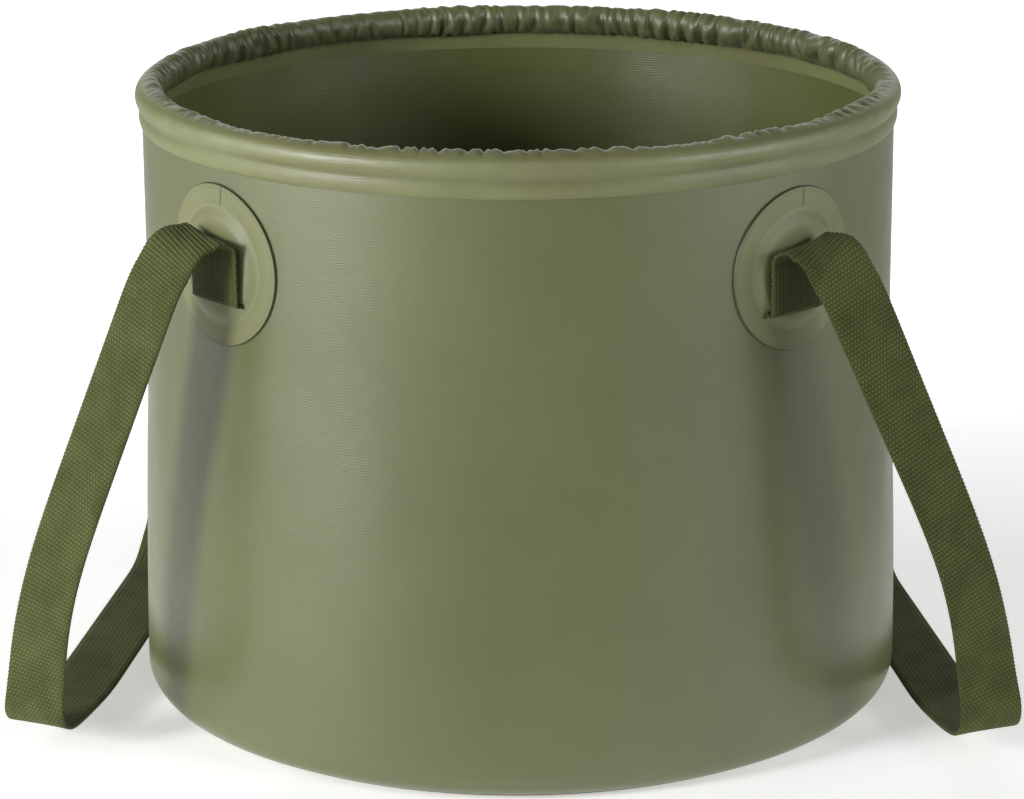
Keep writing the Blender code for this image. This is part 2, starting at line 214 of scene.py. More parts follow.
class Wiring:
    """Adds nodes to a node tree and joins their sockets."""

    def __init__(self, tree: bpy.types.NodeTree) -> None:
        """Keep the tree."""
        self.tree = tree

    def node(self, kind: str, **settings: object) -> bpy.types.Node:
        """Add a node.

        Args:
            kind: Blender's name of the node's type.
            settings: The node's properties.

        Returns:
            The new node.
        """
        made = self.tree.nodes.new(kind)
        for name, value in settings.items():
            setattr(made, name, value)
        return made

    def feed(self, socket: Socket, value: object) -> None:
        """Join a socket to an input, or set the input to a value.

        Args:
            socket: The input.
            value: An output socket or a plain value.
        """
        if isinstance(value, Socket):
            self.tree.links.new(value, socket)
        else:
            socket.default_value = value

    def fill(self, made: bpy.types.Node, **values: object) -> bpy.types.Node:
        """Feed the named inputs of a node.

        Args:
            made: The node.
            values: Its inputs, with _ for a space in a name.

        Returns:
            The same node.
        """
        for name, value in values.items():
            self.feed(made.inputs[name.replace("_", " ")], value)
        return made

    def group(self, tree: bpy.types.NodeTree, **values: object) -> bpy.types.Node:
        """Place a shader node group and feed its named inputs."""
        return self.fill(self.node("ShaderNodeGroup", node_tree=tree), **values)

    def math(self, operation: str, *values: object, clamp: bool = False) -> Socket:
        """Add a Math node.

        Args:
            operation: The operation's name.
            values: Its inputs, numbers or sockets.
            clamp: Whether the result is kept between 0 and 1.

        Returns:
            The result's socket.
        """
        made = self.node("ShaderNodeMath", operation=operation, use_clamp=clamp)
        for socket, value in zip(made.inputs, values):
            self.feed(socket, value)
        return made.outputs[0]

    def times(self, first: object, second: object, clamp: bool = False) -> Socket:
        """The product of two values."""
        return self.math("MULTIPLY", first, second, clamp=clamp)

    def scaled(self, value: object, factor: object, offset: object, clamp: bool = False) -> Socket:
        """A value times a factor, plus an offset."""
        return self.math("MULTIPLY_ADD", value, factor, offset, clamp=clamp)

    def larger(self, first: object, second: object) -> Socket:
        """The larger of two values."""
        return self.math("MAXIMUM", first, second)

    def parts(self, vector: object) -> tuple[Socket, Socket, Socket]:
        """The X, Y and Z of a vector."""
        made = self.node("ShaderNodeSeparateXYZ")
        self.feed(made.inputs[0], vector)
        return tuple(made.outputs)

    def vector(self, x: object, y: object, z: object = 0.0) -> Socket:
        """The vector of three values."""
        return self.fill(self.node("ShaderNodeCombineXYZ"), X=x, Y=y, Z=z).outputs[0]

    def ramp(self, value: object, low: object, high: object, start: float = 0.0, end: float = 1.0) -> Socket:
        """Turn a value that runs from low to high into one from start to end, eased at both.

        Args:
            value: The value's socket.
            low: Where the ramp starts.
            high: Where the ramp ends.
            start: The result up to low.
            end: The result from high on.

        Returns:
            The result's socket.
        """
        made = self.node("ShaderNodeMapRange", interpolation_type="SMOOTHSTEP")
        self.fill(made, Value=value, From_Min=low, From_Max=high, To_Min=start, To_Max=end)
        return made.outputs["Result"]

    def noise(self, vector: object, scale: object, detail: float = 2.0, rough: float = 0.5) -> Socket:
        """Add a Noise Texture.

        Args:
            vector: Where it is read.
            scale: Cells in a metre.
            detail: Number of finer layers.
            rough: Strength of the finer layers.

        Returns:
            The socket of its value, from 0 to 1.
        """
        made = self.node("ShaderNodeTexNoise")
        return self.fill(made, Vector=vector, Scale=scale, Detail=detail, Roughness=rough).outputs[0]

    def blend(self, share: object, first: object, second: object) -> Socket:
        """Mix two colours.

        Args:
            share: Share of the second colour.
            first: The first colour.
            second: The second colour.

        Returns:
            The socket of the mixed colour.
        """
        made = self.node("ShaderNodeMix", data_type="RGBA")
        factor, colour, other = made.inputs[0], made.inputs[6], made.inputs[7]
        for socket, value in ((factor, share), (colour, first), (other, second)):
            self.feed(socket, value)
        return made.outputs[2]


def new_tree(name: str, kind: str, takes: dict[str, tuple], gives: dict[str, str]) -> tuple:
    """Make an empty node group with named inputs and outputs.

    Args:
        name: The group's name.
        kind: ShaderNodeTree or GeometryNodeTree.
        takes: Input names with their socket type and value, None for no value.
        gives: Output names with their socket type.

    Returns:
        Its wiring, its input node and its output node.
    """
    tree = bpy.data.node_groups.new(name, kind)
    for label, (socket_type, value) in takes.items():
        socket = tree.interface.new_socket(label, in_out="INPUT", socket_type=socket_type)
        if value is not None:
            socket.default_value = value
    for label, socket_type in gives.items():
        tree.interface.new_socket(label, in_out="OUTPUT", socket_type=socket_type)
    wiring = Wiring(tree)
    return wiring, wiring.node("NodeGroupInput"), wiring.node("NodeGroupOutput")


@dataclass
class SharedEffects:
    """The shader node groups that more than one finish uses.

    A scale is in cells a metre, and a band is where an eased step starts and ends.
    """

    drift_scale: float = 55.0
    line_drift: float = 0.0007
    torn_scale: float = 120.0
    torn_band: tuple[float, float] = (0.42, 0.70)
    line_relief: float = 0.55
    fine_relief: float = 0.6
    depth_band: tuple[float, float] = (0.32, 0.68)
    patchy_shift: tuple[float, float, float] = (3.1, 1.7, 0.4)
    patchy_size: float = 0.6
    patchy_band: tuple[float, float] = (0.42, 0.72)
    worn_scale: float = 160.0
    worn_band: tuple[float, float] = (0.35, 0.70)
    least_worn: float = 0.35
    grain: bpy.types.NodeTree = field(init=False)
    cloud: bpy.types.NodeTree = field(init=False)
    # Lighter rubbed wear with painted highlights, and painted shade, from masks on the mesh.
    wear: bpy.types.NodeTree = field(init=False)

    def __post_init__(self) -> None:
        """Build the groups."""
        self.grain = self.build_grain()
        self.cloud = self.build_cloud()
        self.wear = self.build_wear()

    def build_grain(self) -> bpy.types.NodeTree:
        """Build the fine relief of a coated cloth: faint yarn lines under a soft film.

        Returns:
            The group, whose Height and Line run from 0 to 1.
        """
        wiring, takes, gives = new_tree(
            "cloth_grain", "ShaderNodeTree",
            {"Vector": (VECTOR, None), "Line Pitch": (FLOAT, 0.0011), "Grain Scale": (FLOAT, 900.0)},
            {"Height": FLOAT, "Line": FLOAT})
        place = takes.outputs["Vector"]
        drift = wiring.noise(place, self.drift_scale)
        bent = wiring.scaled(drift, self.line_drift, wiring.parts(place)[2])
        turns = wiring.math("DIVIDE", bent, takes.outputs["Line Pitch"])
        wave = wiring.math("SINE", wiring.times(turns, 2 * math.pi))
        torn = wiring.ramp(wiring.noise(place, self.torn_scale), *self.torn_band)
        broken = wiring.times(wiring.scaled(wave, 0.5, 0.5), torn)
        fine = wiring.noise(place, takes.outputs["Grain Scale"], 3.0, 0.6)
        height = wiring.scaled(broken, self.line_relief, wiring.times(fine, self.fine_relief))
        wiring.fill(gives, Height=height, Line=broken)
        return wiring.tree

    def build_cloud(self) -> bpy.types.NodeTree:
        """Build the uneven depth of a dyed surface.

        Returns:
            The group, which puts out a colour.
        """
        wiring, takes, gives = new_tree(
            "dye_cloud", "ShaderNodeTree",
            {"Vector": (VECTOR, None), "Light": (COLOUR, (0.2, 0.2, 0.2, 1)),
             "Dark": (COLOUR, (0.1, 0.1, 0.1, 1)), "Warm": (COLOUR, (0.2, 0.2, 0.1, 1)),
             "Scale": (FLOAT, 9.0), "Warmth": (FLOAT, 0.5)},
            {"Color": COLOUR})
        place, scale = takes.outputs["Vector"], takes.outputs["Scale"]
        depth = wiring.ramp(wiring.noise(place, scale, 3.0, 0.55), *self.depth_band)
        base = wiring.blend(depth, takes.outputs["Dark"], takes.outputs["Light"])
        away = wiring.node("ShaderNodeVectorMath", operation="ADD")
        wiring.feed(away.inputs[0], place)
        away.inputs[1].default_value = self.patchy_shift
        cells = wiring.times(scale, self.patchy_size)
        patchy = wiring.ramp(wiring.noise(away.outputs[0], cells), *self.patchy_band)
        share = wiring.times(patchy, takes.outputs["Warmth"])
        wiring.fill(gives, Color=wiring.blend(share, base, takes.outputs["Warm"]))
        return wiring.tree

    def build_wear(self) -> bpy.types.NodeTree:
        """Build the lighter look of rubbed edges and of painted highlights, and the painted shade in hollows,
        creases and under edges, from masks on the mesh.

        Returns:
            The group, which puts out a colour.
        """
        wiring, takes, gives = new_tree(
            "rubbed_edge", "ShaderNodeTree",
            {"Vector": (VECTOR, None), "Color": (COLOUR, (0.2, 0.2, 0.2, 1)), "Edge": (FLOAT, 0.0),
             "Hollow": (FLOAT, 0.0), "Rubbed": (COLOUR, (0.3, 0.3, 0.2, 1)),
             "Deep": (COLOUR, (0.02, 0.02, 0.01, 1))},
            {"Color": COLOUR})
        patchy = wiring.ramp(wiring.noise(takes.outputs["Vector"], self.worn_scale, 3.0), *self.worn_band,
                             self.least_worn)
        # The edge mask lightens for rubbed wear and for painted highlight. The shade mask darkens for painted
        # shade.
        edge = wiring.times(takes.outputs["Edge"], patchy, clamp=True)
        hollow = wiring.times(takes.outputs["Hollow"], 1.0, clamp=True)
        rubbed = wiring.blend(edge, takes.outputs["Color"], takes.outputs["Rubbed"])
        wiring.fill(gives, Color=wiring.blend(hollow, rubbed, takes.outputs["Deep"]))
        return wiring.tree


def opaque(colour: Colour) -> tuple[float, float, float, float]:
    """Give a colour its alpha of one."""
    return (*colour, 1.0)


def new_material(name: str) -> tuple[bpy.types.Material, Wiring, bpy.types.Node, Socket]:
    """Make a material with a Principled shader that reads Object coordinates.

    Args:
        name: The material's name.

    Returns:
        The material, its wiring, its shader and the socket of the Object coordinates.
    """
    material = bpy.data.materials.new(name)
    material.use_nodes = True
    wiring = Wiring(material.node_tree)
    shader = material.node_tree.nodes["Principled BSDF"]
    place = wiring.node("ShaderNodeTexCoord").outputs["Object"]
    return material, wiring, shader, place


def read_mask(wiring: Wiring, name: str) -> Socket:
    """Read a number that a mesh carries, inside a material."""
    return wiring.node("ShaderNodeAttribute", attribute_name=name).outputs["Fac"]


def add_relief(wiring: Wiring, shader: bpy.types.Node, height: Socket, depth: float) -> None:
    """Give a shader a fine relief.

    Args:
        wiring: The material's wiring.
        shader: Its shader.
        height: The socket of the relief's height, from 0 to 1.
        depth: The relief's depth.
    """
    relief = wiring.fill(wiring.node("ShaderNodeBump"), Strength=1.0, Distance=depth, Height=height)
    wiring.fill(shader, Normal=relief.outputs["Normal"])


@dataclass(frozen=True)
class CoatedSheet:
    """Satin coated cloth in olive.

    The mesh may carry two point attributes, from 0 to 1: the edge mask is lighter, as rubbed
    wear and as painted highlight, and the shade mask is painted shade in hollows and creases.
    """

    name: str
    light: Colour
    dark: Colour
    warm: Colour
    # Dark colour of the faint yarn lines and of the painted shade.
    deep: Colour = (0.020, 0.024, 0.009)
    # Lighter colour of rubbed wear, also used for painted highlight.
    rubbed: Colour = (0.250, 0.265, 0.165)
    warmth: float = 0.55
    cloud_scale: float = 9.0
    roughness: float = 0.37
    uneven_scale: float = 38.0
    unevenness: float = 0.16
    line_strength: float = 0.06
    bump: float = 0.00005
    sheen: float = 0.06
    sheen_roughness: float = 0.45
    gloss: float = 0.95

    def material(self, effects: SharedEffects) -> bpy.types.Material:
        """Make the material.

        Args:
            effects: The shared node groups.

        Returns:
            The material.
        """
        material, wiring, shader, place = new_material(self.name)
        cloud = wiring.group(effects.cloud, Vector=place, Light=opaque(self.light), Dark=opaque(self.dark),
                             Warm=opaque(self.warm), Scale=self.cloud_scale, Warmth=self.warmth)
        grain = wiring.group(effects.grain, Vector=place)
        lined = wiring.blend(wiring.times(grain.outputs["Line"], self.line_strength),
                             cloud.outputs["Color"], opaque(self.deep))
        # Rubbed wear and painted highlight come from the edge mask, and painted shade from the shade mask.
        worn = wiring.group(effects.wear, Vector=place, Color=lined, Edge=read_mask(wiring, "edge"),
                            Hollow=read_mask(wiring, "hollow"), Rubbed=opaque(self.rubbed),
                            Deep=opaque(self.deep))
        uneven = wiring.scaled(wiring.noise(place, self.uneven_scale, 3.0), self.unevenness,
                               self.roughness - self.unevenness / 2)
        wiring.fill(shader, Base_Color=worn.outputs["Color"], Roughness=uneven, Sheen_Weight=self.sheen,
                    Sheen_Roughness=self.sheen_roughness, Specular_IOR_Level=self.gloss)
        add_relief(wiring, shader, grain.outputs["Height"], self.bump)
        return material


@dataclass(frozen=True)
class Webbing:
    """Matt woven webbing: cross ribs from the mesh, yarns along it from the surface, with painted shade in
    the dips between ribs and yarns and on the inner face, and darker along its edges.

    The mesh carries the point attributes along and across, in metres, rib, from 0 in the
    dip between two ribs to 1 on a rib, and inner, which is 1 on the webbing's inner face.
    """

    name: str
    yarn: Colour
    light_yarn: Colour
    # Dark colour of the painted shade in the weave's dips and on the inner face.
    groove: Colour
    cloud_scale: float = 60.0
    warmth: float = 0.25
    column_pitch: float = 0.0017
    inner_pitch_gain: float = 0.0002
    row_pitch: float = 0.0017
    valley_width: float = 0.27
    width: float = 0.0280
    edge_width: float = 0.0014
    edge_shade: float = 0.55
    # Painted shade in the dips between ribs, and below it in the dips between yarns.
    cross_band: tuple[float, float] = (0.12, 0.75)
    cross_shade: float = 0.60
    cross_inner_gain: float = -0.15
    lane_shade: float = 0.84
    lane_inner_gain: float = 0.02
    # Painted shadow on the inner face, which lies in the shade of the fold at the roots.
    inner_shade: float = 0.44
    fibre_scale: float = 2600.0
    fibre_band: tuple[float, float] = (0.35, 0.65)
    fibre_shade: float = -0.20
    valley_relief: float = -0.6
    fibre_relief: float = 0.35
    roughness: float = 0.82
    bump: float = 0.00022
    sheen: float = 0.04
    sheen_roughness: float = 0.6
    gloss: float = 0.16

    def material(self, effects: SharedEffects) -> bpy.types.Material:
        """Make the material.

        Args:
            effects: The shared node groups.

        Returns:
            The material.
        """
        material, wiring, shader, place = new_material(self.name)
        along, across, rib, inner = (read_mask(wiring, name) for name in ("along", "across", "rib", "inner"))
        cloud = wiring.group(effects.cloud, Vector=place, Light=opaque(self.light_yarn),
                             Dark=opaque(self.yarn), Warm=opaque(self.light_yarn),
                             Scale=self.cloud_scale, Warmth=self.warmth)
        pitch = wiring.scaled(inner, self.inner_pitch_gain, self.column_pitch)
        row = wiring.math("FLOOR", wiring.math("DIVIDE", along, self.row_pitch))
        stagger = wiring.times(wiring.math("MODULO", row, 2.0), wiring.scaled(inner, -0.5, 0.5))
        column = wiring.math("ADD", wiring.math("DIVIDE", across, pitch), stagger)
        valley = wiring.ramp(wiring.math("PINGPONG", column, 0.5), 0.0, self.valley_width, 1.0, 0.0)
        fibre = wiring.noise(wiring.vector(along, across), self.fibre_scale, 3.0, 0.7)
        fibre = wiring.ramp(fibre, *self.fibre_band)
        # Painted shade: the dips between ribs and yarns and the inner face darken toward the dark colour.
        cross = wiring.times(wiring.ramp(rib, *self.cross_band, 1.0, 0.0),
                             wiring.scaled(inner, self.cross_inner_gain, self.cross_shade))
        lengthwise = wiring.times(valley, wiring.scaled(inner, self.lane_inner_gain, self.lane_shade))
        to_edge = wiring.math("MINIMUM", across, wiring.math("SUBTRACT", self.width, across))
        # Darker along both edges of the webbing.
        selvedge = wiring.ramp(to_edge, 0.0, self.edge_width, self.edge_shade, 0.0)
        faced = wiring.larger(wiring.larger(wiring.larger(cross, lengthwise), selvedge),
                              wiring.times(inner, self.inner_shade))
        shaded = wiring.scaled(fibre, self.fibre_shade, faced, clamp=True)
        worn = wiring.group(effects.wear, Vector=place, Color=cloud.outputs["Color"], Hollow=shaded,
                            Deep=opaque(self.groove))
        wiring.fill(shader, Base_Color=worn.outputs["Color"], Roughness=self.roughness,
                    Sheen_Weight=self.sheen, Sheen_Roughness=self.sheen_roughness,
                    Specular_IOR_Level=self.gloss)
        raised = wiring.scaled(valley, self.valley_relief, wiring.times(fibre, self.fibre_relief))
        add_relief(wiring, shader, raised, self.bump)
        return material


@dataclass(frozen=True)
class MouldedPlastic:
    """Matt moulded or drawn plastic with a fine grain and rubbed places."""

    name: str
    colour: Colour
    rubbed: Colour
    roughness: float = 0.45
    cloud_scale: float = 120.0
    warmth: float = 0.4
    grain_scale: float = 2500.0
    unevenness: float = 0.15
    bump: float = 0.00003

    def material(self, effects: SharedEffects) -> bpy.types.Material:
        """Make the material.

        Args:
            effects: The shared node groups.

        Returns:
            The material.
        """
        material, wiring, shader, place = new_material(self.name)
        cloud = wiring.group(effects.cloud, Vector=place, Light=opaque(self.colour), Dark=opaque(self.colour),
                             Warm=opaque(self.rubbed), Scale=self.cloud_scale, Warmth=self.warmth)
        grain = wiring.group(effects.grain, Vector=place, Grain_Scale=self.grain_scale)
        uneven = wiring.scaled(grain.outputs["Height"], self.unevenness, self.roughness)
        wiring.fill(shader, Base_Color=cloud.outputs["Color"], Roughness=uneven)
        add_relief(wiring, shader, grain.outputs["Height"], self.bump)
        return material


FINISHES = {
    Slot.COATED: CoatedSheet("coated_sheet_olive", (0.106, 0.121, 0.037), (0.092, 0.104, 0.031),
                             (0.102, 0.110, 0.028)),
    Slot.RIM: CoatedSheet("rim_sheet_olive", (0.182, 0.198, 0.081), (0.154, 0.167, 0.067),
                          (0.152, 0.150, 0.064), deep=(0.022, 0.024, 0.010), cloud_scale=22.0, gloss=0.60,
                          roughness=0.44, line_strength=0.04, bump=0.00008),
    Slot.BASE: CoatedSheet("base_sheet_olive", (0.150, 0.165, 0.085), (0.125, 0.140, 0.068),
                           (0.150, 0.150, 0.062), roughness=0.5),
    Slot.PATCH: CoatedSheet("patch_sheet_olive", (0.184, 0.198, 0.092), (0.163, 0.176, 0.077),
                            (0.190, 0.183, 0.078), cloud_scale=30.0, roughness=0.50, line_strength=0.03,
                            bump=0.00004, warmth=0.6, gloss=0.50),
    Slot.WEBBING: Webbing("webbing_dark_olive", (0.086, 0.100, 0.025), (0.122, 0.141, 0.043),
                          (0.012, 0.015, 0.005)),
    Slot.HOOP: MouldedPlastic("hoop_tube_black", (0.022, 0.022, 0.022), (0.05, 0.05, 0.048)),
    Slot.PLUG: MouldedPlastic("hoop_plug_grey", (0.30, 0.29, 0.265), (0.36, 0.35, 0.32), 0.4),
}


@dataclass
class Wardrobe:
    """Every finish of the washbasin, made once."""

    effects: SharedEffects = field(default_factory=SharedEffects)
    made: dict[Slot, bpy.types.Material] = field(default_factory=dict)

    def __post_init__(self) -> None:
        """Make the materials."""
        self.made = {slot: finish.material(self.effects) for slot, finish in FINISHES.items()}

    def wear(self, item: bpy.types.Object, slot: Slot) -> bpy.types.Object:
        """Give a piece the finish made for its slot.

        Args:
            item: The piece.
            slot: The record's slot.

        Returns:
            The piece.
        """
        item.data.materials.clear()
        item.data.materials.append(self.made[slot])
        return item


def linked(item: bpy.types.Object) -> bpy.types.Object:
    """Put an object into the scene."""
    bpy.context.scene.collection.objects.link(item)
    return item


def grid_mesh(name: str, points: np.ndarray, close_rows: bool = False,
              close_columns: bool = False) -> bpy.types.Mesh:
    """Make a mesh of four-sided faces from a grid of points.

    Args:
        name: The mesh's name.
        points: The points, rows by columns by three.
        close_rows: Whether the last row joins the first.
        close_columns: Whether the last column joins the first.

    Returns:
        The mesh. Seen from outside its rows run to the right and its columns up.
    """
    rows, columns = points.shape[:2]
    index = np.arange(rows * columns).reshape(rows, columns)
    if close_rows:
        index = np.vstack([index, index[:1]])
    if close_columns:
        index = np.hstack([index, index[:, :1]])
    faces = np.stack([index[:-1, :-1], index[1:, :-1], index[1:, 1:], index[:-1, 1:]], -1).reshape(-1, 4)
    mesh = bpy.data.meshes.new(name)
    mesh.from_pydata(points.reshape(-1, 3).tolist(), [], faces.tolist())
    return mesh


def write_masks(mesh: bpy.types.Mesh, shape: tuple[int, int], **masks: np.ndarray) -> None:
    """Write numbers to the points of a grid mesh as attributes.

    Args:
        mesh: The mesh.
        shape: Its rows and columns.
        masks: Numbers by the attribute's name, for each point, row or column of the grid.
    """
    for name, values in masks.items():
        attribute = mesh.attributes.new(name, "FLOAT", "POINT")
        attribute.data.foreach_set("value", np.broadcast_to(values, shape).astype(np.float32).ravel())


def cap_ends(mesh: bpy.types.Mesh) -> None:
    """Close the open ends of a tube-like mesh and turn its faces outwards."""
    edit = bmesh.new()
    edit.from_mesh(mesh)
    bmesh.ops.holes_fill(edit, edges=[edge for edge in edit.edges if edge.is_boundary])
    bmesh.ops.recalc_face_normals(edit, faces=edit.faces)
    edit.to_mesh(mesh)
    edit.free()


def new_piece(name: str, mesh: bpy.types.Mesh, angle: float = 40.0) -> bpy.types.Object:
    """Put a mesh into the scene, closed, and smooth but for its sharp edges.

    Args:
        name: The piece's name.
        mesh: Its mesh, in world places.
        angle: Edges sharper than this stay sharp, in degrees.

    Returns:
        The piece.
    """
    cap_ends(mesh)
    mesh.name = name
    mesh.shade_smooth()
    mesh.set_sharp_from_angle(angle=math.radians(angle))
    return linked(bpy.data.objects.new(name, mesh))


def settled(item: bpy.types.Object) -> bpy.types.Object:
    """Turn a piece's live modifiers into a plain mesh.

    Args:
        item: The piece.

    Returns:
        The same piece with a plain mesh and no modifier.
    """
    graph = bpy.context.evaluated_depsgraph_get()
    mesh = bpy.data.meshes.new_from_object(item.evaluated_get(graph))
    mesh.name = item.name
    item.modifiers.clear()
    item.data = mesh
    return item


def run_tree(item: bpy.types.Object, wiring: Wiring, **values: object) -> bpy.types.Object:
    """Shape a piece with a geometry tree and settle it.

    Args:
        item: The piece.
        wiring: The tree's wiring.
        values: The inputs' values, with _ for a space in a name.

    Returns:
        The same piece with a plain mesh.
    """
    modifier = item.modifiers.new("shape", "NODES")
    modifier.node_group = wiring.tree
    for socket in wiring.tree.interface.items_tree:
        name = socket.name.replace(" ", "_")
        if socket.in_out == "INPUT" and name in values:
            modifier[socket.identifier] = values[name]
    return settled(item)


def read_attribute(wiring: Wiring, name: str) -> Socket:
    """Read a number that a mesh carries, inside a geometry tree."""
    made = wiring.node("GeometryNodeInputNamedAttribute", data_type="FLOAT")
    return wiring.fill(made, Name=name).outputs["Attribute"]


def keep_attribute(wiring: Wiring, geometry: Socket, name: str, value: Socket) -> Socket:
    """Write a number to the points of a geometry, inside a geometry tree.

    Args:
        wiring: The tree's wiring.
        geometry: The geometry's socket.
        name: The attribute's name.
        value: The value's socket.

    Returns:
        The socket of the geometry that carries it.
    """
    made = wiring.node("GeometryNodeStoreNamedAttribute", data_type="FLOAT", domain="POINT")
    return wiring.fill(made, Name=name, Geometry=geometry, Value=value).outputs["Geometry"]


def shift_along_normals(wiring: Wiring, geometry: Socket, height: Socket) -> Socket:
    """Move the points of a geometry along their normals, inside a geometry tree.

    Args:
        wiring: The tree's wiring.
        geometry: The geometry's socket.
        height: How far each point moves.

    Returns:
        The socket of the moved geometry.
    """
    scaled = wiring.fill(wiring.node("ShaderNodeVectorMath", operation="SCALE"), Scale=height)
    wiring.feed(scaled.inputs[0], wiring.node("GeometryNodeInputNormal").outputs["Normal"])
    moved = wiring.node("GeometryNodeSetPosition")
    return wiring.fill(moved, Geometry=geometry, Offset=scaled.outputs[0]).outputs["Geometry"]


def finish_tree(wiring: Wiring, geometry: Socket, takes: bpy.types.Node, gives: bpy.types.Node) -> None:
    """End a geometry tree with plain geometry that wears its material.

    Args:
        wiring: The tree's wiring.
        geometry: The geometry's socket.
        takes: The tree's input node, which has the material.
        gives: The tree's output node.
    """
    real = wiring.fill(wiring.node("GeometryNodeRealizeInstances"), Geometry=geometry)
    dressed = wiring.fill(wiring.node("GeometryNodeSetMaterial"), Geometry=real.outputs["Geometry"],
                          Material=takes.outputs["Material"])
    wiring.fill(gives, Geometry=dressed.outputs["Geometry"])


def report(item: bpy.types.Object) -> None:
    """Log a finished piece and its number of faces."""
    LOG.info("made %s with %d faces", item.name, len(item.data.polygons))


def arc(centre: tuple[float, float], radius: float, start: float, end: float, steps: int) -> Outline:
    """Points of an arc in (reach, height).

    Args:
        centre: The arc's centre.
        radius: Its radius.
        start: Its first angle, in degrees.
        end: Its last angle, in degrees.
        steps: Number of steps.

    Returns:
        The points.
    """
    angles = np.radians(np.linspace(start, end, steps + 1))
    return [(centre[0] + radius * math.cos(a), centre[1] + radius * math.sin(a)) for a in angles]


def straight(start: tuple[float, float], end: tuple[float, float], steps: int) -> Outline:
    """Points of a straight line in (reach, height) without its first one.

    Args:
        start: The line's start.
        end: The line's end.
        steps: Number of steps.

    Returns:
        The points after the start.
    """
    way = np.array(end) - np.array(start)
    return [tuple(np.array(start) + way * k / steps) for k in range(1, steps + 1)]


def turned(outline: Outline, steps: int) -> np.ndarray:
    """Turn an outline round the Z axis.

    Args:
        outline: Points in (reach, height).
        steps: Number of steps round.

    Returns:
        The points, steps by outline by three.
    """
    angles = np.linspace(0.0, 2 * math.pi, steps, endpoint=False)
    reach, height = np.array(outline).T
    return round_axis(reach[None], angles[:, None], height)


def round_axis(reach: np.ndarray, angle: np.ndarray, height: np.ndarray) -> np.ndarray:
    """Points round the Z axis.

    Args:
        reach: Their distance from the axis.
        angle: Their azimuth, in radians.
        height: Their height.

    Returns:
        The points, in the last dimension.
    """
    x, y = reach * np.cos(angle), reach * np.sin(angle)
    return np.stack([x, y, np.broadcast_to(height, x.shape)], -1)


def eased(value: np.ndarray, low: float, high: float) -> np.ndarray:
    """Run from 0 at low to 1 at high, eased at both ends.

    Args:
        value: The values.
        low: Where it starts.
        high: Where it ends.

    Returns:
        The eased values.
    """
    share = np.clip((value - low) / (high - low), 0.0, 1.0)
    return share * share * (3 - 2 * share)


def near(value: np.ndarray, place: float, flat: float, width: float) -> np.ndarray:
    """Run from 1 near a place to 0 away from it.

    Args:
        value: The values.
        place: The place.
        flat: Distance within which the result is 1.
        width: Distance from which it is 0.

    Returns:
        The eased values.
    """
    return 1 - eased(np.abs(value - place), flat, width)


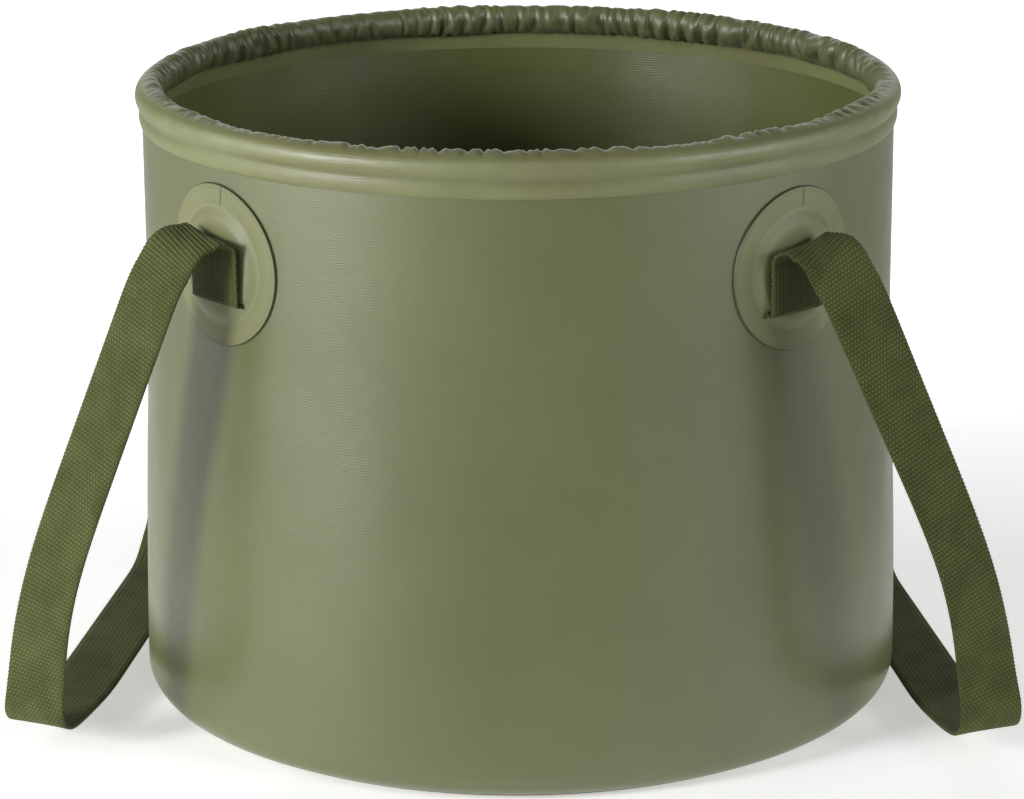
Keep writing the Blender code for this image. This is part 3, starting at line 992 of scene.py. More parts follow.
@dataclass
class Basin:
    """The wall, its seam up the back and the floor."""

    wardrobe: Wardrobe
    round_steps: int = 320
    wall_steps: int = 35
    turn_steps: int = 11
    lap_steps: int = 4
    seam_width: float = 0.022
    seam_rise: float = 0.0006
    seam_end_room: float = 0.0015
    seam_steps: int = 60
    bulge: float = 0.0004
    bulge_waves: tuple[tuple[float, float, float, float], ...] = (
        (0.5, 5, 0, 0.7), (0.3, 11, 30, 0.0), (0.2, 23, 0, 1.9))
    bulge_base: tuple[float, float] = (0.010, 0.070)
    bulge_top: tuple[float, float] = (0.135, 0.168)
    swell: float = 0.0044
    swell_top: float = 0.1700
    turn_radius: float = 0.0105
    # Painted shade in a band under the sleeve's hem, and a lighter rubbed foot, both at the share below.
    hem_shadow: tuple[float, float] = (0.2400, 0.0022)
    foot_wear: tuple[float, float] = (0.004, 0.022)
    wear_share: float = 0.05
    floor_steps: int = 160
    floor_rings: int = 40
    floor_middle: float = 0.0015
    weld_press: float = 0.00012
    weld_width: float = 0.0025
    weld_in: float = 0.003

    def swollen(self, height: np.ndarray) -> np.ndarray:
        """Outer radius of the wall, which is a little fuller toward its base.

        Args:
            height: Heights above the floor.

        Returns:
            The radii.
        """
        share = np.clip(np.asarray(height) / self.swell_top, 0.0, 1.0)
        return SIZES.radius + self.swell * (1 - share ** 2) ** 1.5

    def wall_outline(self) -> Outline:
        """Section of the wall, down its outer side, in over the floor and back up inside.

        Returns:
            Points in (reach, height). Those of the outer side come first.
        """
        size = SIZES
        foot = self.swollen(0.0) - self.turn_radius
        centre = (foot, size.floor_top + self.turn_radius)
        lap_end = size.radius - size.corner_radius - size.floor_lap
        step = 90.0 / (self.turn_steps + 1)
        heights = np.linspace(size.wall_top, centre[1], self.wall_steps)
        outer = [(self.swollen(z), z) for z in heights]
        outline = outer + arc(centre, self.turn_radius, -step, -90.0, self.turn_steps)
        outline += straight((foot, size.floor_top), (lap_end, size.floor_top), self.lap_steps)
        outline.append((lap_end, size.floor_top + size.sheet))
        outline += straight(outline[-1], (foot, size.floor_top + size.sheet), self.lap_steps)
        outline += arc(centre, self.turn_radius - size.sheet, step - 90.0, -step, self.turn_steps - 1)
        outline += [(reach - size.sheet, z) for reach, z in outer[::-1]]
        return outline

    def build_wall(self) -> bpy.types.Object:
        """Make the wall as one closed sheet that is not perfectly round between rim and base.

        Returns:
            The piece.
        """
        points = turned(self.wall_outline(), self.round_steps)
        angle = np.arctan2(points[..., 1], points[..., 0])
        height = points[..., 2]
        reach = np.hypot(points[..., 0], points[..., 1])
        free = eased(height, *self.bulge_base) * (1 - eased(height, *self.bulge_top))
        wave = sum(share * np.sin(count * angle + climb * height + start)
                   for share, count, climb, start in self.bulge_waves)
        points[..., :2] *= (1 + self.bulge * wave * free / reach)[..., None]
        mesh = grid_mesh("side_wall_sheet", points, True, True)
        # Outside only: painted shade just under the sleeve's hem, and the foot rubbed lighter.
        outside = self.wear_share * (reach > self.swollen(height) - SIZES.sheet / 2)
        place, width = self.hem_shadow
        write_masks(mesh, height.shape, hollow=outside * near(height, place, 0.0, width),
                    edge=outside * (1 - eased(height, *self.foot_wear)))
        item = self.wardrobe.wear(new_piece("side_wall_sheet", mesh), Slot.COATED)
        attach(item, Body.RIM.value)
        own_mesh(item)
        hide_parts("side_wall")
        return item

    def build_seam(self) -> bpy.types.Object:
        """Make the lap up the back where the wall's sheet is joined to itself.

        Returns:
            The piece.
        """
        size = SIZES
        low = size.floor_top + self.turn_radius + self.seam_end_room
        high = size.height - size.outer_hem - self.seam_end_room
        half = self.seam_width / 2
        right = ((0.0, 1.0), (0.40, 1.0), (0.74, 0.6), (0.80, 1.0), (0.90, 0.95), (0.97, 0.55), (1.0, 0.0))
        across, rise = np.array([(-share, tall) for share, tall in right[:0:-1]] + list(right)).T
        across, rise = across * half, rise * self.seam_rise
        up = np.linspace(low, high, self.seam_steps)[:, None]
        angle = math.pi / 2 - across / size.radius
        out = np.concatenate([rise + 0.00005, np.full_like(rise, -0.0003)])
        rows = round_axis(self.swollen(up) + out, np.concatenate([angle, angle[::-1]]), up)
        mesh = grid_mesh("back_seam_lap", rows, False, True)
        edge = np.concatenate([np.abs(across) > half * 0.85, np.zeros(len(across), bool)])
        write_masks(mesh, rows.shape[:2], edge=edge * 0.5)
        item = self.wardrobe.wear(new_piece("back_seam_lap", mesh, 60.0), Slot.COATED)
        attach(item, Body.RIM.value)
        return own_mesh(item)

    def build_floor(self) -> bpy.types.Object:
        """Make the round floor sheet with the faint press of its weld.

        Returns:
            The piece.
        """
        size = SIZES
        radius = self.swollen(0.0) - self.turn_radius
        rings = np.linspace(self.floor_middle, radius - 0.004, self.floor_rings)
        reach = np.concatenate([rings, np.linspace(radius - 0.003, radius, 4)])
        weld = radius - size.floor_lap + self.weld_in
        top = size.sheet - self.weld_press * near(reach, weld, 0.0, self.weld_width)
        outline = [(r, 0.0) for r in reach] + [(r, z) for r, z in zip(reach[::-1], top[::-1])]
        mesh = grid_mesh("floor_sheet", turned(outline, self.floor_steps), True, False)
        item = self.wardrobe.wear(new_piece("floor_sheet", mesh), Slot.BASE)
        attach(item, Body.BOTTOM.value)
        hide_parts("bottom_panel")
        return item

    def build(self) -> None:
        """Make the wall, the seam and the floor and log them; the cloth's spread is worked out but not used.
        """
        size = SIZES
        wall = self.build_wall()
        seam = self.build_seam()
        floor = self.build_floor()
        section = np.array(self.wall_outline()[:self.wall_steps + self.turn_steps + 1 + self.lap_steps])
        steps = np.linalg.norm(np.diff(section, axis=0), axis=1)
        spread = float((steps * (section[1:, 0] + section[:-1, 0])).sum() * math.pi)
        spread += self.seam_width * size.wall_top
        for item in (wall, seam, floor):
            report(item)


@dataclass
class Rim:
    """The gathered sleeve over the hoop, and the hoop inside it.

    A sway or share of the gathers comes from noise: its scale is in cells a metre, and a band
    is where an eased step starts and ends.
    """

    wardrobe: Wardrobe
    round_steps: int = 1280
    bead_turn: tuple[float, float] = (-36.0, 208.0)
    bead_steps: int = 24
    hem_thickness: tuple[float, ...] = (0.0002, 0.0006, 0.0008)
    gather_depth: float = 0.0026
    gathers: float = 104.0
    fine_gathers: float = 229.0
    gather_seed: float = 4.0
    gather_leans: tuple[float, float, float] = (52.0, -44.0, 30.0)
    gather_starts: tuple[float, float, float] = (0.0, 0.37, 0.11)
    gather_climb: float = 0.62
    broad_sway: tuple[float, float] = (26.0, 5.0)
    fine_sway: tuple[float, float] = (85.0, 1.5)
    later_sway: float = 0.8
    crossing: float = 0.25
    share_scale: float = 60.0
    share_band: tuple[float, float] = (0.40, 0.66)
    fine_share: tuple[float, float] = (0.08, 0.42)
    strength_scale: float = 21.0
    strength_band: tuple[float, float] = (0.34, 0.60)
    least_strength: float = 0.45
    # Painted shade in the valleys between the gathers.
    sunk_band: tuple[float, float] = (0.10, 0.70)
    sunk_depth: float = 0.80
    cut_fullness: float = 1.16

    def section(self) -> tuple[np.ndarray, np.ndarray, dict[str, np.ndarray]]:
        """Middle of the sleeve's section, from the outer hem over the hoop to the inner hem.

        Returns:
            Points in (reach, height), the cloth's thickness at each, which runs out at both hems,
            and the masks, from 0 to 1: gather, the painted shade where the hem meets the bead and down
            the bead's inner side, and edge, a painted highlight on the bead's upper outer face.
        """
        size = SIZES
        outer = size.radius + size.gap + size.sheet / 2
        inner = size.radius - size.sheet - size.gap - size.sheet / 2
        low, inner_low = size.height - size.outer_hem, size.height - size.inner_hem
        hem = ((-0.00062, 0.0), (-0.0002, 0.0008), (0.00005, 0.0020), (0.00015, 0.0034), (0.00005, 0.0048),
               (-0.0002, 0.0060), (-0.0003, 0.0070), (-0.0001, 0.0078))
        bead = arc((size.hoop_reach, size.hoop_height), size.bore + size.sheet / 2, *self.bead_turn,
                   self.bead_steps)
        reach, height = bead[-1]
        slack = [(reach + 0.0004, height - 0.0008), (reach + 0.0012, height - 0.0016),
                 (reach + 0.0024, height - 0.0026), (inner - 0.0008, height - 0.0034),
                 (inner - 0.0001, height - 0.0042)]
        line = [(outer + step, low + rise) for step, rise in hem] + bead + slack
        line += straight(line[-1], (inner + 0.0006, inner_low), 4)
        turn = np.linspace(*self.bead_turn, self.bead_steps + 1)
        first, count = len(hem), len(line)
        gather = np.concatenate([np.zeros(first), eased(turn, 58.0, 128.0), (1.0, 0.95, 0.85, 0.65, 0.42),
                                 (0.12, 0, 0, 0)])
        groove, edge = np.zeros(count), np.zeros(count)
        # Painted shade where the hem meets the bead.
        groove[first - 4:first + 1] = (0.06, 0.14, 0.20, 0.12, 0.04)
        # Painted shade down the bead's inner side, which lies in shade.
        inside = np.concatenate([0.42 * eased(turn, 70.0, 165.0), (0.42, 0.40, 0.34, 0.24, 0.12)])
        covered = slice(first, first + len(inside))
        groove[covered] = np.maximum(groove[covered], inside)
        # Painted highlight on the bead's upper outer face, where light falls.
        edge[first + 3:first + 9] = (0.1, 0.25, 0.4, 0.4, 0.25, 0.1)
        thick = np.full(count, size.sheet)
        thick[:3] = thick[-1:-4:-1] = self.hem_thickness
        return np.array(line), thick, {"gather": gather, "groove": groove, "edge": edge}

    def gather_tree(self) -> Wiring:
        """Build the tree that draws the sleeve's cloth into gathers over the hoop.

        Broad gathers run down the section and lean to and fro. Finer ones lie between them.

        Returns:
            The tree's wiring.
        """
        wiring, takes, gives = new_tree(
            "gathered_sleeve", "GeometryNodeTree",
            {"Geometry": (GEOMETRY, None), "Gather Depth": (FLOAT, 0.002), "Gathers": (FLOAT, 90.0),
             "Fine Gathers": (FLOAT, 200.0), "Seed": (FLOAT, 0.0), "Material": (MATERIAL, None)},
            {"Geometry": GEOMETRY})
        x, y, _ = wiring.parts(wiring.node("GeometryNodeInputPosition").outputs[0])
        section, mask = read_attribute(wiring, "section"), read_attribute(wiring, "gather")
        angle = wiring.math("ARCTAN2", y, x)
        across = wiring.times(wiring.math("COSINE", angle), SIZES.hoop_reach)
        back = wiring.times(wiring.math("SINE", angle), SIZES.hoop_reach)
        where = wiring.vector(across, back, wiring.scaled(section, self.gather_climb, takes.outputs["Seed"]))
        (broad_scale, broad), (fine_scale, fine) = self.broad_sway, self.fine_sway
        sway = wiring.times(wiring.noise(where, broad_scale, 1.0), broad)
        sway = wiring.scaled(wiring.noise(where, fine_scale, 1.0), fine, sway)

        def ridges(count: Socket, lean: float, start: float) -> Socket:
            """Rounded ridges round the rim that lean down its section."""
            swung = wiring.times(sway, self.later_sway if start else 1.0)
            bent = wiring.math("ADD", wiring.scaled(section, lean, start), swung)
            turns = wiring.scaled(angle, wiring.math("DIVIDE", count, 2 * math.pi), bent)
            return wiring.scaled(wiring.math("COSINE", wiring.times(turns, 2 * math.pi)), 0.5, 0.5)

        counts = (takes.outputs["Gathers"], takes.outputs["Gathers"], takes.outputs["Fine Gathers"])
        one_way, other_way, between = map(ridges, counts, self.gather_leans, self.gather_starts)
        crossed = wiring.math("SMOOTH_MAX", one_way, other_way, self.crossing)
        share = wiring.ramp(wiring.noise(where, self.share_scale, 1.0), *self.share_band, *self.fine_share)
        puff = wiring.scaled(between, share, wiring.times(crossed, wiring.math("SUBTRACT", 1.0, share)))
        along = wiring.vector(across, back, takes.outputs["Seed"])
        strength = wiring.ramp(wiring.noise(along, self.strength_scale, 1.0), *self.strength_band,
                               self.least_strength)
        height = wiring.times(wiring.times(puff, strength), mask)
        depth = wiring.times(height, takes.outputs["Gather Depth"])
        moved = shift_along_normals(wiring, takes.outputs["Geometry"],
                                    wiring.times(depth, read_attribute(wiring, "face")))
        # Painted shade in the valleys between the gathers, together with the section's painted shade.
        sunk = wiring.times(wiring.ramp(puff, *self.sunk_band, self.sunk_depth, 0.0), mask)
        hollow = wiring.larger(sunk, read_attribute(wiring, "groove"))
        finish_tree(wiring, keep_attribute(wiring, moved, "hollow", hollow), takes, gives)
        return wiring

    def build_sleeve(self) -> bpy.types.Object:
        """Make the sleeve: smooth outside, gathered over its top and down its inner side.

        Returns:
            The piece.
        """
        line, thick, masks = self.section()
        lengths = lengths_of(line)
        way = directions(line)
        half = np.stack([way[:, 1], -way[:, 0]], -1) * thick[:, None] / 2
        outline = np.concatenate([line + half, (line - half)[::-2]])
        points = turned(outline, self.round_steps)
        mesh = grid_mesh("rim_sleeve_cloth", points, True, True)
        masks = {"section": lengths, **masks}
        folded = {name: np.concatenate([values, values[::-2]]) for name, values in masks.items()}
        face = np.concatenate([np.ones(len(line)), -np.ones(len(line[::-2]))])
        write_masks(mesh, points.shape[:2], **folded, face=face)
        item = new_piece("rim_sleeve_cloth", mesh, 80.0)
        run_tree(item, self.gather_tree(), Gather_Depth=self.gather_depth, Gathers=self.gathers,
                 Fine_Gathers=self.fine_gathers, Seed=self.gather_seed, Material=self.wardrobe.made[Slot.RIM])
        self.wardrobe.wear(item, Slot.RIM)
        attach(item, Body.RIM.value)
        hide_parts("rim_sleeve")
        return item

    def build(self, nodes: dict[str, bpy.types.Object]) -> None:
        """Make the sleeve and finish the hoop and its plug.

        Args:
            nodes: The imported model's nodes by name.
        """
        report(self.build_sleeve())
        for name, slot in (("rim_hoop", Slot.HOOP), ("hoop_plug", Slot.PLUG)):
            self.wardrobe.wear(nodes[name], slot)
            report(nodes[name])


@dataclass(frozen=True)
class Lie:
    """How one handle's webbing lies, told for the left handle.

    The patch shifts away from the middle of the front or the back, and the slit and the fold
    toward it. A reach is off the wall at the side, along is from back (+) to front (-), and a
    twist turns the webbing's width away from the side, in degrees.
    """

    patch_shift: float
    slit_shift: float
    fold_shift: float
    slit_lift: float
    shoulder: tuple[float, float, float]
    front_knee: tuple[float, float, float]
    front_corner: tuple[float, float]
    run: tuple[float, float]
    back_corner: tuple[float, float]
    back_knee: tuple[float, float, float]
    twists: tuple[float, ...]


LEFT_LIE = Lie(
    patch_shift=0.0, slit_shift=0.0025, fold_shift=0.0048, slit_lift=0.0018,
    shoulder=(0.0165, 0.0095, 0.0032), front_knee=(0.0291, -0.1178, 0.0723), front_corner=(0.0377, -0.1235),
    run=(0.0261, -0.0650), back_corner=(0.0115, 0.1160), back_knee=(0.0020, 0.1175, 0.0700),
    twists=(38.0, 34.5, 24.0, 13.5, -18.0, -33.0, -38.0))
RIGHT_LIE = Lie(
    patch_shift=0.0025, slit_shift=0.0012, fold_shift=0.0036, slit_lift=-0.0005,
    shoulder=(0.0150, 0.0081, 0.0025), front_knee=(0.0299, -0.1236, 0.0832), front_corner=(0.0414, -0.1111),
    run=(0.0251, -0.0650), back_corner=(-0.0080, 0.1160), back_knee=(-0.0020, 0.1175, 0.0700),
    twists=(30.0, 44.0, 28.5, 12.0, -14.0, -40.0, -42.0))


@dataclass
class StrapPatch:
    """One round patch on the wall: a backing disc and a cover with a pocket and a slit.

    A ring of painted shade or of painted highlight is a share, a radius, and how far off it
    the share is whole and gone. The tick is a short crease across the flange, with painted shade
    in it, and its angles are in degrees.
    """

    wardrobe: Wardrobe
    place: Place
    lie: Lie
    spokes: int = 132
    backing_spokes: int = 72
    backing_top: float = 0.0007
    flange: float = 0.0011
    pocket: float = 0.0032
    film: float = 0.0007
    pocket_radius: float = 0.0245
    pocket_ramp: float = 0.0062
    ridge: tuple[float, float, float] = (0.0242, 0.0006, 0.00004)
    press: tuple[float, float, float] = (0.0308, 0.0005, 0.00012)
    # Painted shade: a thin shadow line round the cover's edge, in the weld's press and at the foot of the
    # pocket's rise.
    dark_rings: tuple[tuple[float, float, float, float], ...] = (
        (0.85, SIZES.patch_look_radius, 0.0001, 0.0004), (0.12, 0.0308, 0.0, 0.0008),
        (0.06, 0.0250, 0.0, 0.0009))
    # Painted highlight along the ridge at the top of the pocket's rise.
    light_ring: tuple[float, float, float, float] = (0.30, 0.0237, 0.0003, 0.0010)
    tick_angle: float = 84.0
    tick_spokes: tuple[float, ...] = (-2.4, -1.2, -0.6, 0.0, 0.6, 1.2, 2.4)
    tick_clear: float = 3.0
    tick_reach: tuple[float, float] = (0.0249, 0.0319)
    tick_spread: float = 0.7
    tick_depth: float = 0.0003
    # Painted shade in the tick's crease.
    tick_dark: float = 0.75
    slit_below: float = 0.0155
    slit_room: float = 0.0003
    slit_depth: float = 0.0050

    def laid(self, rings: Outline, angles: np.ndarray) -> np.ndarray:
        """Lay rings of (radius, out) on the wall round the patch's middle.

        Args:
            rings: Radius and distance off the wall of each ring.
            angles: Angles of the spokes, in radians.

        Returns:
            The points, spokes by rings by three.
        """
        radius, out = np.array(rings).T
        across = np.cos(angles)[:, None] * radius[None] - self.place.inward * self.lie.patch_shift
        up = np.sin(angles)[:, None] * radius[None]
        around = math.radians(self.place.azimuth) + across / SIZES.radius
        return round_axis(SIZES.radius + out, around, SIZES.patch_height + up)

    def build_backing(self) -> bpy.types.Object:
        """Make the flat disc that is welded to the wall.

        Returns:
            The piece.
        """
        reach = [0.0008, 0.008, 0.016, 0.024, 0.0300, 0.0309]
        rings = [(radius, self.backing_top) for radius in reach]
        rings += [(radius, SIZES.gap) for radius in reach[::-1]]
        angles = np.linspace(0, 2 * math.pi, self.backing_spokes, endpoint=False)
        mesh = grid_mesh("patch_backing", self.laid(rings, angles), True, False)
        item = self.wardrobe.wear(new_piece("patch_backing_" + self.place.label, mesh), Slot.PATCH)
        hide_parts("patch_base_" + self.place.label)
        return item

    def cover_rings(self) -> tuple[Outline, Outline]:
        """Section of the cover's outside and of its underside, from the middle outwards.

        Returns:
            The outside rings and the underside rings, as (radius, out).
        """
        flange, pocket, edge = self.flange, self.pocket, SIZES.patch_look_radius
        radii = np.array([0.0008, 0.004, 0.008, 0.012, 0.016, 0.0190, 0.0200, 0.0208, 0.0216, 0.0223, 0.0229,
                          0.0234, 0.0239, 0.0244, 0.0250, 0.0260, 0.0275, 0.0288, 0.0296, 0.0302, 0.0308,
                          0.0314, 0.0319, 0.0322])
        rise = 1 - eased(radii, self.pocket_radius - self.pocket_ramp, self.pocket_radius)
        ridge, press = (height * np.exp(-((radii - place) / width) ** 2)
                        for place, width, height in (self.ridge, self.press))
        out = flange + (pocket - flange) * rise + ridge - press
        over = list(zip(radii, out))
        over += [(edge, flange - 0.0003), (edge + 0.0001, flange - 0.0006), (edge + 0.0001, 0.00005)]
        roof, low = pocket - self.film, self.backing_top + 0.0001
        under = [(0.0008, roof), (0.0120, roof), (0.0200, roof),
                 (0.0226, (pocket + flange) / 2 - self.film - 0.0002), (self.pocket_radius, low),
                 (0.0311, low), (0.0317, 0.00005)]
        return over, under

    def build_cover(self) -> bpy.types.Object:
        """Make the cover: a welded flange, a raised pocket and the slit for the webbing.

        Returns:
            The piece.
        """
        over, under = self.cover_rings()
        even = np.linspace(0, 360, self.spokes, endpoint=False)
        even = even[np.abs(even - self.tick_angle) > self.tick_clear]
        degrees = np.sort(np.concatenate([even, self.tick_angle + np.array(self.tick_spokes)]))
        rings = over + under[::-1]
        radii = np.array([ring[0] for ring in rings])
        upper = np.arange(len(rings)) < len(over)
        crease = np.exp(-((degrees - self.tick_angle) / self.tick_spread) ** 2)[:, None]
        crease = crease * ((radii > self.tick_reach[0]) & (radii < self.tick_reach[1]) & upper)[None]
        points = self.laid(rings, np.radians(degrees))
        points[..., :2] *= (1 - self.tick_depth * crease / SIZES.radius)[..., None]
        mesh = grid_mesh("patch_cover", points, True, False)
        # Painted shade from the rings and the tick. Painted highlight on the pocket's ridge goes into the
        # edge mask.
        dark = np.max([share * near(radii, *ring) for share, *ring in self.dark_rings], axis=0)
        share, *ring = self.light_ring
        write_masks(mesh, points.shape[:2], hollow=np.clip(dark[None] + self.tick_dark * crease, 0, 1),
                    edge=share * near(radii, *ring) * upper)
        item = new_piece("patch_cover_sheet_" + self.place.label, mesh)
        cutter = self.slit_cutter()
        cut = item.modifiers.new("slit", "BOOLEAN")
        cut.operation = "DIFFERENCE"
        cut.object = cutter
        settled(item)
        bpy.data.objects.remove(cutter, do_unlink=True)
        self.wardrobe.wear(item, Slot.PATCH)
        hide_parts("patch_cover_" + self.place.label)
        return item

    def slit_cutter(self) -> bpy.types.Object:
        """Make the block that cuts the slit.

        Returns:
            The block.
        """
        size = SIZES
        tall = size.webbing_thickness + 2 * self.slit_room
        wide = size.webbing_width + 2 * self.slit_room
        edit = bmesh.new()
        bmesh.ops.create_cube(edit, size=1.0)
        mesh = bpy.data.meshes.new("slit")
        edit.to_mesh(mesh)
        edit.free()
        middle = size.on_wall(self.place.azimuth, self.place.inward * self.lie.slit_shift,
                              self.lie.slit_lift - self.slit_below, self.slit_depth / 2 + 0.0002)
        turn = Matrix.Rotation(math.radians(self.place.azimuth), 4, "Z")
        mesh.transform(Matrix.Diagonal((self.slit_depth, wide, tall, 1.0)))
        mesh.transform(Matrix.Translation(Vector(middle)) @ turn)
        return linked(bpy.data.objects.new("slit", mesh))

    def build(self) -> None:
        """Make the patch's backing and cover and log them."""
        for item in (self.build_backing(), self.build_cover()):
            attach(item, Body.RIM.value)
            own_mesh(item)
            report(item)


@dataclass(frozen=True)
class Strip:
    """A stretch of webbing: its middle line, width directions, lengths along it and its curl.

    The curl is 1 where the webbing's width follows the wall's round and 0 where it is flat.
    """

    line: np.ndarray
    wide: np.ndarray
    along: np.ndarray
    curl: np.ndarray

    def part(self, low: float, high: float) -> "Strip":
        """Take the stretch between two lengths.

        Args:
            low: Where it starts.
            high: Where it ends.

        Returns:
            The shorter strip.
        """
        keep = (self.along >= low) & (self.along <= high)
        return Strip(self.line[keep], self.wide[keep], self.along[keep], self.curl[keep])


def rounded_path(corners: list[np.ndarray], radii: list[float], step: float = 4.0) -> np.ndarray:
    """Points along straight runs whose inner corners are rounded.

    Args:
        corners: The corners of the runs.
        radii: The radius at each inner corner.
        step: Turn of one step on an arc, in degrees.

    Returns:
        The points.
    """
    points = [Vector(corners[0])]
    for before, corner, after, radius in zip(corners, corners[1:], corners[2:], radii):
        place = Vector(corner)
        toward = (Vector(before) - place).normalized()
        onward = (Vector(after) - place).normalized()
        half = toward.angle(onward) / 2
        centre = place + (toward + onward).normalized() * (radius / math.sin(half))
        arm = place + toward * (radius / math.tan(half)) - centre
        sweep = math.pi - 2 * half
        count = max(2, math.ceil(sweep / math.radians(step)))
        axis = onward.cross(toward)
        points += [centre + Matrix.Rotation(sweep * k / count, 3, axis) @ arm for k in range(count + 1)]
    points.append(Vector(corners[-1]))
    return np.array([tuple(point) for point in points])


def lengths_of(line: np.ndarray) -> np.ndarray:
    """Lengths from the first point of a line to each point."""
    return np.concatenate([[0.0], np.cumsum(np.linalg.norm(np.diff(line, axis=0), axis=1))])


def unit(vectors: np.ndarray) -> np.ndarray:
    """Rows of vectors at length one."""
    return vectors / np.linalg.norm(vectors, axis=1)[:, None]


def directions(line: np.ndarray) -> np.ndarray:
    """Direction of a line at each of its points."""
    return unit(np.gradient(line, axis=0))


def smoothed(values: np.ndarray, spread: float, step: float) -> np.ndarray:
    """Smooth columns of even samples with a bell-shaped weight.

    Args:
        values: The samples, one row for each.
        spread: The weight's spread, in the unit of the step.
        step: Distance between samples.

    Returns:
        The smoothed samples.
    """
    reach = int(3 * spread / step)
    weight = np.exp(-0.5 * (np.arange(-reach, reach + 1) * step / spread) ** 2)
    weight /= weight.sum()
    padded = np.pad(values, ((reach, reach), (0, 0)), mode="edge")
    return np.stack([np.convolve(column, weight, mode="valid") for column in padded.T], -1)


@dataclass
class Handle:
    """One webbing handle: its sewn roots at the front and back patch, and the hanging loop."""

    wardrobe: Wardrobe
    side: str
    body: Body
    mirror: float
    lie: Lie
    rib_pitch: float = 0.0017
    rib_height: float = 0.00034
    rib_band: tuple[float, float] = (0.04, 0.40)
    rib_samples: int = 5
    lanes: int = 10
    face_share: float = 0.86
    outer_relief: float = 1.0
    inner_relief: float = 0.40
    edge_relief: float = 0.20
    tail_top: float = 0.0100
    tail_out: float = 0.0015
    slit_below: float = 0.0155
    root_stand_off: float = 0.0050
    fold_stand_off: float = 0.0066
    fold_above: float = 0.0128
    ground_room: float = 0.0088
    corner_radii: tuple[float, ...] = (0.0015, 0.0015, 0.0048, 0.0165, 0.0200, 0.0180)
    run_radius: float = 0.1200
    fold_smoothing: tuple[tuple[float, float, float], ...] = ((0.003, 0.006, 0.016), (0.0095, 0.010, 0.028))
    knee_smoothing: tuple[float, float, float] = (0.020, 0.028, 0.060)
    twist_smoothing: tuple[float, float, float] = (0.022, 0.004, 0.045)
    fold_lean: float = 0.13
    lean_start: tuple[float, float] = (-0.024, -0.002)
    lean_end: tuple[float, float] = (0.020, 0.080)
    split_past_fold: float = 0.0070
    root_kept: float = 0.555
    blend_start: float = 0.2125
    blend_end: float = 0.1200

    def root_corners(self, place: Place) -> list[np.ndarray]:
        """Corners of one root, from the tail's end down, out of the slit and up to the fold.

        Args:
            place: The root's patch.

        Returns:
            The corners.
        """
        size, lie = SIZES, self.lie
        slit, low = place.inward * lie.slit_shift, lie.slit_lift - self.slit_below
        return [size.on_wall(place.azimuth, slit, self.tail_top, self.tail_out),
                size.on_wall(place.azimuth, slit, low, self.tail_out),
                size.on_wall(place.azimuth, slit, low, self.root_stand_off),
                size.on_wall(place.azimuth, place.inward * lie.fold_shift, lie.slit_lift + self.fold_above,
                             self.fold_stand_off)]

    def corners(self) -> list[np.ndarray]:
        """Corners of the left handle's middle line, from the front tail to the back tail.

        Returns:
            The corners.
        """
        lie, out = self.lie, -SIZES.radius
        front, back = self.root_corners(Place.FRONT_LEFT), self.root_corners(Place.BACK_LEFT)
        fold = front[-1]
        low = self.ground_room + SIZES.webbing_thickness / 2
        reach, spread, drop = lie.shoulder
        beside = (lie.front_knee, (*lie.front_corner, low), (*lie.run, low), (*lie.back_corner, low),
                  lie.back_knee)
        hanging = [np.array((out - away, along, height)) for away, along, height in beside]
        shoulder = fold + np.array((-reach, -spread, -drop))
        far_shoulder = fold + np.array((-reach, spread - 2 * fold[1], -drop))
        return front + [shoulder] + hanging + [far_shoulder] + back[::-1]

    def strip(self) -> Strip:
        """Lay the whole strip of webbing, with even samples along each rib.

        Returns:
            The strip of the left handle.
        """
        corners = self.corners()
        radii = [*self.corner_radii, self.run_radius, *self.corner_radii[::-1]]
        shift = math.degrees((self.lie.slit_shift + self.lie.fold_shift) / 2 / SIZES.radius)
        root_twist = 270.0 - Place.FRONT_LEFT.azimuth - shift
        twists = [root_twist] * 4 + list(self.lie.twists) + [-root_twist] * 4
        rough = rounded_path(corners, radii)
        lengths = lengths_of(rough)
        marks = [lengths[np.argmin(np.linalg.norm(rough - corner, axis=1))] for corner in corners]
        step = self.rib_pitch / self.rib_samples
        along = np.arange(0.0, lengths[-1], step)
        line = np.stack([np.interp(along, lengths, rough[:, k]) for k in range(3)], -1)
        from_end, fold = np.minimum(along, along[-1] - along), marks[3]

        def softened(values: np.ndarray, spread: float, low: float, high: float) -> np.ndarray:
            """Smooth samples where they lie past the fold, with an eased start."""
            share = eased(from_end, fold + low, fold + high)[:, None]
            return values + share * (smoothed(values, spread, step) - values)

        for spread, low, high in self.fold_smoothing:
            line = softened(line, spread, low, high)
        to_knee = np.minimum(np.abs(along - marks[5]), np.abs(along - marks[9]))
        spread, low, high = self.knee_smoothing
        line += (1 - eased(to_knee, low, high))[:, None] * (smoothed(line, spread, step) - line)
        twist = softened(np.radians(np.interp(along, marks, twists))[:, None], *self.twist_smoothing)[:, 0]
        leans = (self.lean_start, self.lean_end)
        start, end = (eased(from_end, fold + low, fold + high) for low, high in leans)
        lean = start * (1 - end)
        way = directions(line)
        wide = np.stack([-np.cos(twist), np.sin(twist), self.fold_lean * lean], -1)
        wide = unit(wide - way * (wide * way).sum(1)[:, None])
        tail, rise = self.tail_top + self.slit_below, self.fold_above + self.slit_below
        return Strip(line, wide, along, np.clip(1.0 - (from_end - tail) / rise, 0.0, 1.0))

